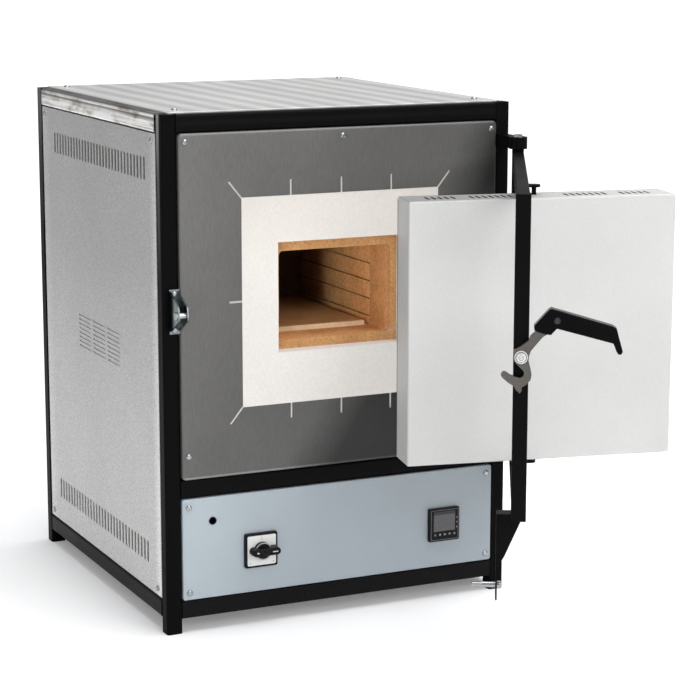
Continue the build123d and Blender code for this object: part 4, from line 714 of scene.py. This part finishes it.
def make_slot_shade_backs():
    """Painted shade: dark sheets inside the door, behind the slots in its top and bottom, clear of its
    pivots.
    """
    shape = bmesh.new()
    near, far = SLOT_BACK_DEPTH
    for level in (DOOR_TOP - SLOT_BACK_INSET, DOOR_LOW + SLOT_BACK_INSET):
        for low, high in SLOT_BACK_SPANS:
            outline = square_outline(high - low, BACK_SHEET, (low + high) / 2, level)
            add_prism(shape, outline, far - near, door_at(near))
    finish_piece(shape, "slot_shade_backs", seam_and_shade_dark, "door")


def make_bolt_lines():
    """Shadow line round the nut of the latch and the end of its bolt, and painted shade in the slot of the
    bolt's end.
    """
    shape = bmesh.new()
    nut = facing(LATCH_OUT, LATCH_AXIS + LATCH_OUT * NUT_FACE)
    bolt = facing(LATCH_OUT, LATCH_AXIS + LATCH_OUT * BOLT_END)
    outer, inner = (round_outline(radius, 40) for radius in NUT_LINE)
    add_ring(shape, outer, inner, LINE, nut)
    outer, inner = (round_outline(radius, 24) for radius in BOLT_LINE)
    add_ring(shape, outer, inner, LINE, bolt)
    add_prism(shape, square_outline(*BOLT_SLOT), MARK, bolt)
    finish_piece(shape, "bolt_lines", rim_grey, "latch")


# Sockets of the screws: dark hexagons as painted shade in their hollows, sunk a little into the tops of
# their domes
SCREW_DOME = 2.6
SOCKET = 1.5
SOCKET_DEPTH = 0.04
SOCKET_SINK = 0.045
SCREW_TOP = 664
SCREW_LOW = 56.5
PANEL_SCREW_LOW = 245.5
CONTROL_SCREW_TOP = 175
FRONT_SCREW_X = 226
SIDE_SCREW_Y = 226
REAR_SCREW_X = 221
COVER_SCREW_X = 223
COVER_SCREW_Y = 222.5
KEEPER_SCREW_X = -242.35
KEEPER_SCREW_Z = (418.5, 466)


def screw_places():
    """Direction of each screw and the place on the face that it is in."""
    places = []
    for x in (-FRONT_SCREW_X, 0, FRONT_SCREW_X):
        places.append(((0, -1, 0), (x, PANEL_FACE, SCREW_TOP)))
    for x in (-FRONT_SCREW_X, FRONT_SCREW_X):
        places.append(((0, -1, 0), (x, PANEL_FACE, PANEL_SCREW_LOW)))
    for x in (-FRONT_SCREW_X, FRONT_SCREW_X):
        for z in (CONTROL_SCREW_TOP, SCREW_LOW):
            places.append(((0, -1, 0), (x, CONTROL_FACE, z)))
    for side in (-1, 1):
        for y in (-SIDE_SCREW_Y, SIDE_SCREW_Y):
            for z in (SCREW_TOP, SCREW_LOW):
                places.append(((side, 0, 0), (side * SIDE_FACE, y, z)))
    for x in (-REAR_SCREW_X, REAR_SCREW_X):
        for z in (SCREW_TOP, SCREW_LOW):
            places.append(((0, 1, 0), (x, REAR_FACE, z)))
    for x in (-COVER_SCREW_X, COVER_SCREW_X):
        for y in (-COVER_SCREW_Y, COVER_SCREW_Y):
            places.append(((0, 0, 1), (x, y, COVER_FACE)))
    for z in KEEPER_SCREW_Z:
        places.append(((0, -1, 0), (KEEPER_SCREW_X, KEEPER_FACE, z)))
    return places


def make_screw_sockets():
    shape = bmesh.new()
    for normal, place in screw_places():
        at = facing(normal, Vector(place) + Vector(normal) * (SCREW_DOME - SOCKET_SINK))
        add_prism(shape, round_outline(SOCKET, 6), SOCKET_DEPTH, at)
    finish_piece(shape, "screw_sockets", dark_steel_and_shade, "furnace")


# Marks and rims of the switch and the controller
DIAL = (-123.0, 105.5)
DIAL_FACE = CONTROL_FACE - 6
DIAL_REACH = 17
DIAL_DOT = 1.0
KNOB_RING = (12.0, 10.6)
KNOB_BASE = DIAL_FACE - 5.5
KNOB_TOP = DIAL_FACE - 13.8
METER = (157.5, 108.3)
METER_FACE = CONTROL_FACE - 6
METER_RIM = (43.4, 42.2)
METER_BAND = METER_FACE + 0.5
LAMP = (0.9, 2.0)
LAMP_X = 19.4
KEY_Z = 94.5
KEY_STEP = 7.6
KEY_FACE = METER_FACE - 0.8


def make_switch_marks():
    """Two strokes and two dots round the dial."""
    shape = bmesh.new()
    at = front_at(DIAL, DIAL_FACE)
    add_prism(shape, square_outline(1.2, 3.4, 0, DIAL_REACH), MARK, at)
    add_prism(shape, square_outline(3.2, 1.2, DIAL_REACH + 1, 0), MARK, at)
    for u in (-DIAL_REACH, DIAL_REACH):
        add_prism(shape, round_outline(DIAL_DOT, 16, u, -DIAL_REACH), MARK, at)
    finish_piece(shape, "switch_marks", mark_grey, "furnace")


def make_knob_parts():
    """Grey ring round the foot of the knob, and a white pointer and arrow on its grip."""
    shape = bmesh.new()
    outer, inner = (round_outline(radius, 48) for radius in KNOB_RING)
    add_ring(shape, outer, inner, 1.0, front_at(DIAL, KNOB_BASE))
    finish_piece(shape, "knob_ring", ring_grey, "knob")
    shape = bmesh.new()
    at = front_at(DIAL, KNOB_TOP)
    add_prism(shape, square_outline(7.5, 1.3, 14.5, 0), POINTER, at)
    add_prism(shape, [(-12, -1.4), (-8.6, 0), (-12, 1.4)], POINTER, at)
    finish_piece(shape, "knob_pointer", mark_white, "knob")


def make_meter_parts():
    """Thin lighter rim, a painted highlight on the bezel edge, dark band over the display and three lamps of
    the controller.
    """
    at = front_at(METER, METER_FACE)
    shape = bmesh.new()
    # Painted highlight: a thin lighter rim round the bezel window
    outer, inner = (square_outline(width, width) for width in METER_RIM)
    add_ring(shape, outer, inner, 0.25, at)
    finish_piece(shape, "meter_rim", rim_grey, "furnace")
    shape = bmesh.new()
    add_prism(shape, square_outline(34, 4.6, 0, 17.1), 0.45, front_at(METER, METER_BAND))
    finish_piece(shape, "meter_band", gloss_dark, "furnace")
    shape = bmesh.new()
    for rise in (9, 2, -5):
        add_prism(shape, square_outline(*LAMP, LAMP_X, rise), 0.12, at)
    finish_piece(shape, "meter_lamps", mark_grey, "furnace")


def make_key_marks():
    """Plain generic marks on the five keys: two bars, a dot, a square and two arrows."""
    outlines = {
        1: [square_outline(2.2, 0.6, 0, 0.6), square_outline(2.2, 0.6, 0, -0.6)],
        2: [round_outline(1.1, 20)],
        3: [square_outline(1.8, 1.8)],
        4: [[(-1.3, 0.9), (0, -1.1), (1.3, 0.9)]],
        5: [[(-1.3, -0.9), (1.3, -0.9), (0, 1.1)]],
    }
    for number, parts in outlines.items():
        shape = bmesh.new()
        at = front_at((METER[0] + (number - 3) * KEY_STEP, KEY_Z), KEY_FACE)
        for outline in parts:
            add_prism(shape, outline, MARK, at)
        finish_piece(shape, f"key_mark_{number}", mark_grey, f"key_{number}_body")


# Hinge cap and weld beads of the frame
HINGE_CAP = (244.5, -310.5, 656)
CAP_NUT = (6.5, 3.2)
CAP_WASHER = (8.5, 4.2, 1.0)
BEAD = 0.8
TOP_BEAD = 0.7
TOP_BEAD_LENGTH = 18
TOP_RAIL_BEAD = (677, 698)
BOTTOM_RAIL_BEAD = (22, 43)
MIDDLE_RAIL_BEAD = (189, 210)


def make_hinge_caps():
    """Hexagon nut on its washer, over the upper hinge bracket."""
    shape = bmesh.new()
    at = Matrix.Translation(HINGE_CAP)
    radius, height = CAP_NUT
    add_prism(shape, round_outline(radius, 6), height, at)
    outer, inner, height = CAP_WASHER
    add_ring(shape, round_outline(outer, 32), round_outline(inner, 32), height, at)
    finish_piece(shape, "hinge_caps", zinc, "furnace")


def add_bead(shape, start, end, radius, seed):
    """Weld bead: a row of overlapping flat drops from one point to another."""
    start = Vector(start)
    end = Vector(end)
    count = max(3, int((end - start).length / (radius * 1.1)))
    for k in range(count + 1):
        spot = start.lerp(end, k / count)
        swell = radius * (1 + 0.18 * math.sin(seed + 2.3 * k))
        bmesh.ops.create_icosphere(shape, subdivisions=1, radius=swell, matrix=Matrix.Translation(spot))


def bead_lines():
    """Start, end and radius of each bead, in the inner corners between the posts and the rails."""
    lines = []
    for side in (-1, 1):
        x = side * INNER_X
        for low, high in (TOP_RAIL_BEAD, BOTTOM_RAIL_BEAD):
            for y in (FRONT, -FRONT):
                lines.append(((x, y, low), (x, y, high), BEAD))
            for y in (-INNER_Y, INNER_Y):
                lines.append(((side * SIDE, y, low), (side * SIDE, y, high), BEAD))
        low, high = MIDDLE_RAIL_BEAD
        lines.append(((x, FRONT, low), (x, FRONT, high), BEAD))
        for y in (FRONT + 2, -FRONT - 2):
            near, far = sorted((y, y - math.copysign(TOP_BEAD_LENGTH, y)))
            lines.append(((x, near, HEIGHT), (x, far, HEIGHT), TOP_BEAD))
    return lines


def make_weld_beads():
    shape = bmesh.new()
    for seed, (start, end, radius) in enumerate(bead_lines(), start=1):
        add_bead(shape, start, end, radius, seed)
    finish_piece(shape, "weld_beads", frame_black, "furnace")


make_rail_gap_shade()
make_slit_light_backs()
make_door_seam()
make_slot_shade_backs()
make_bolt_lines()
make_screw_sockets()
make_switch_marks()
make_knob_parts()
make_meter_parts()
make_key_marks()
make_hinge_caps()
make_weld_beads()

# Stage: pale floor that turns white with distance, white surroundings and soft studio lights, in metres
WHITE = (1, 1, 1, 1)
WHITE_LEVEL = 1.05
FLOOR_SIZE = 30
FLOOR_FADE = (1.1, 2.2)
FLOOR_LIFT = 0.17


def make_floor():
    """Matt pale floor. The camera sees it lifted a little, and white from the far end of the fade."""
    shape = bmesh.new()
    bmesh.ops.create_grid(shape, x_segments=1, y_segments=1, size=FLOOR_SIZE)
    mesh = bpy.data.meshes.new("floor")
    shape.to_mesh(mesh)
    shape.free()
    floor = bpy.data.objects.new("floor", mesh)
    bpy.context.collection.objects.link(floor)
    m = Nodes("floor_white")
    m.color(m.mottle(m.noise(3), (0.90, 0.90, 0.905), (0.91, 0.91, 0.915)))
    m.set(Roughness=0.95, Specular_IOR_Level=0.1)
    seen = m.tree.nodes.new("ShaderNodeLightPath").outputs["Is Camera Ray"]
    reach = m.tree.nodes.new("ShaderNodeVectorMath")
    reach.operation = "LENGTH"
    m.link(m.place, reach.inputs[0])
    white = m.tree.nodes.new("ShaderNodeEmission")
    white.inputs["Color"].default_value = WHITE
    white.inputs["Strength"].default_value = WHITE_LEVEL
    mix = m.tree.nodes.new("ShaderNodeMixShader")
    m.link(m.product(m.span(reach.outputs["Value"], *FLOOR_FADE), seen), mix.inputs["Fac"])
    m.link(m.shader.outputs["BSDF"], mix.inputs[1])
    m.link(white.outputs["Emission"], mix.inputs[2])
    lift = m.tree.nodes.new("ShaderNodeEmission")
    lift.inputs["Color"].default_value = WHITE
    m.link(m.span(seen, 0, 1, 0, FLOOR_LIFT), lift.inputs["Strength"])
    total = m.tree.nodes.new("ShaderNodeAddShader")
    m.link(mix.outputs["Shader"], total.inputs[0])
    m.link(lift.outputs["Emission"], total.inputs[1])
    m.link(total.outputs["Shader"], m.output.inputs["Surface"])
    mesh.materials.append(m.material)


def make_world(color, strength, levels):
    """White to the camera. For everything else a studio, dim near the horizon and bright above."""
    world = bpy.data.worlds.new("studio")
    world.use_nodes = True
    tree = world.node_tree
    tree.nodes.clear()
    out = tree.nodes.new("ShaderNodeOutputWorld")
    fill = tree.nodes.new("ShaderNodeBackground")
    white = tree.nodes.new("ShaderNodeBackground")
    mix = tree.nodes.new("ShaderNodeMixShader")
    path = tree.nodes.new("ShaderNodeLightPath")
    split = tree.nodes.new("ShaderNodeSeparateXYZ")
    ramp = tree.nodes.new("ShaderNodeValToRGB")
    fill_ramp(ramp, [(place, tuple(c * level for c in color)) for place, level in levels])
    tree.links.new(tree.nodes.new("ShaderNodeTexCoord").outputs["Generated"], split.inputs["Vector"])
    tree.links.new(split.outputs["Z"], ramp.inputs["Fac"])
    tree.links.new(ramp.outputs["Color"], fill.inputs["Color"])
    fill.inputs["Strength"].default_value = strength
    white.inputs["Color"].default_value = WHITE
    white.inputs["Strength"].default_value = WHITE_LEVEL
    tree.links.new(path.outputs["Is Camera Ray"], mix.inputs["Fac"])
    tree.links.new(fill.outputs["Background"], mix.inputs[1])
    tree.links.new(white.outputs["Background"], mix.inputs[2])
    tree.links.new(mix.outputs["Shader"], out.inputs["Surface"])
    bpy.context.scene.world = world


def hang_light(name, data, power, place, target):
    data.energy = power
    lamp = bpy.data.objects.new(name, data)
    lamp.location = place
    lamp.rotation_mode = "QUATERNION"
    lamp.rotation_quaternion = (Vector(target) - Vector(place)).to_track_quat("-Z", "Y")
    bpy.context.collection.objects.link(lamp)


def make_soft_box(name, power, place, target, width, height):
    data = bpy.data.lights.new(name, "AREA")
    data.shape = "RECTANGLE"
    data.size = width
    data.size_y = height
    hang_light(name, data, power, place, target)


def make_spot(name, power, place, target, spread):
    """Soft round light that reaches into the chamber."""
    data = bpy.data.lights.new(name, "SPOT")
    data.spot_size = math.radians(spread)
    data.spot_blend = 1.0
    data.shadow_soft_size = 0.12
    hang_light(name, data, power, place, target)


make_floor()
make_world((0.97, 0.98, 1.0), 0.52, [(0.0, 0.40), (0.25, 0.50), (0.7, 1.0)])
make_soft_box("top_box", 112, (0.7, -0.3, 3.3), (0, 0, 0), 3.0, 3.0)
make_soft_box("front_box", 66, (0.5, -3.8, 2.0), (0, 0, 0.4), 2.6, 2.0)
make_soft_box("left_box", 14, (-3.6, -0.6, 1.4), (0, 0, 0.4), 1.8, 1.8)
make_spot("chamber_spot", 110, (-1.25, -1.9, 0.72), (0.035, -0.18, 0.445), 6.5)

bpy.context.scene.view_settings.view_transform = "Standard"
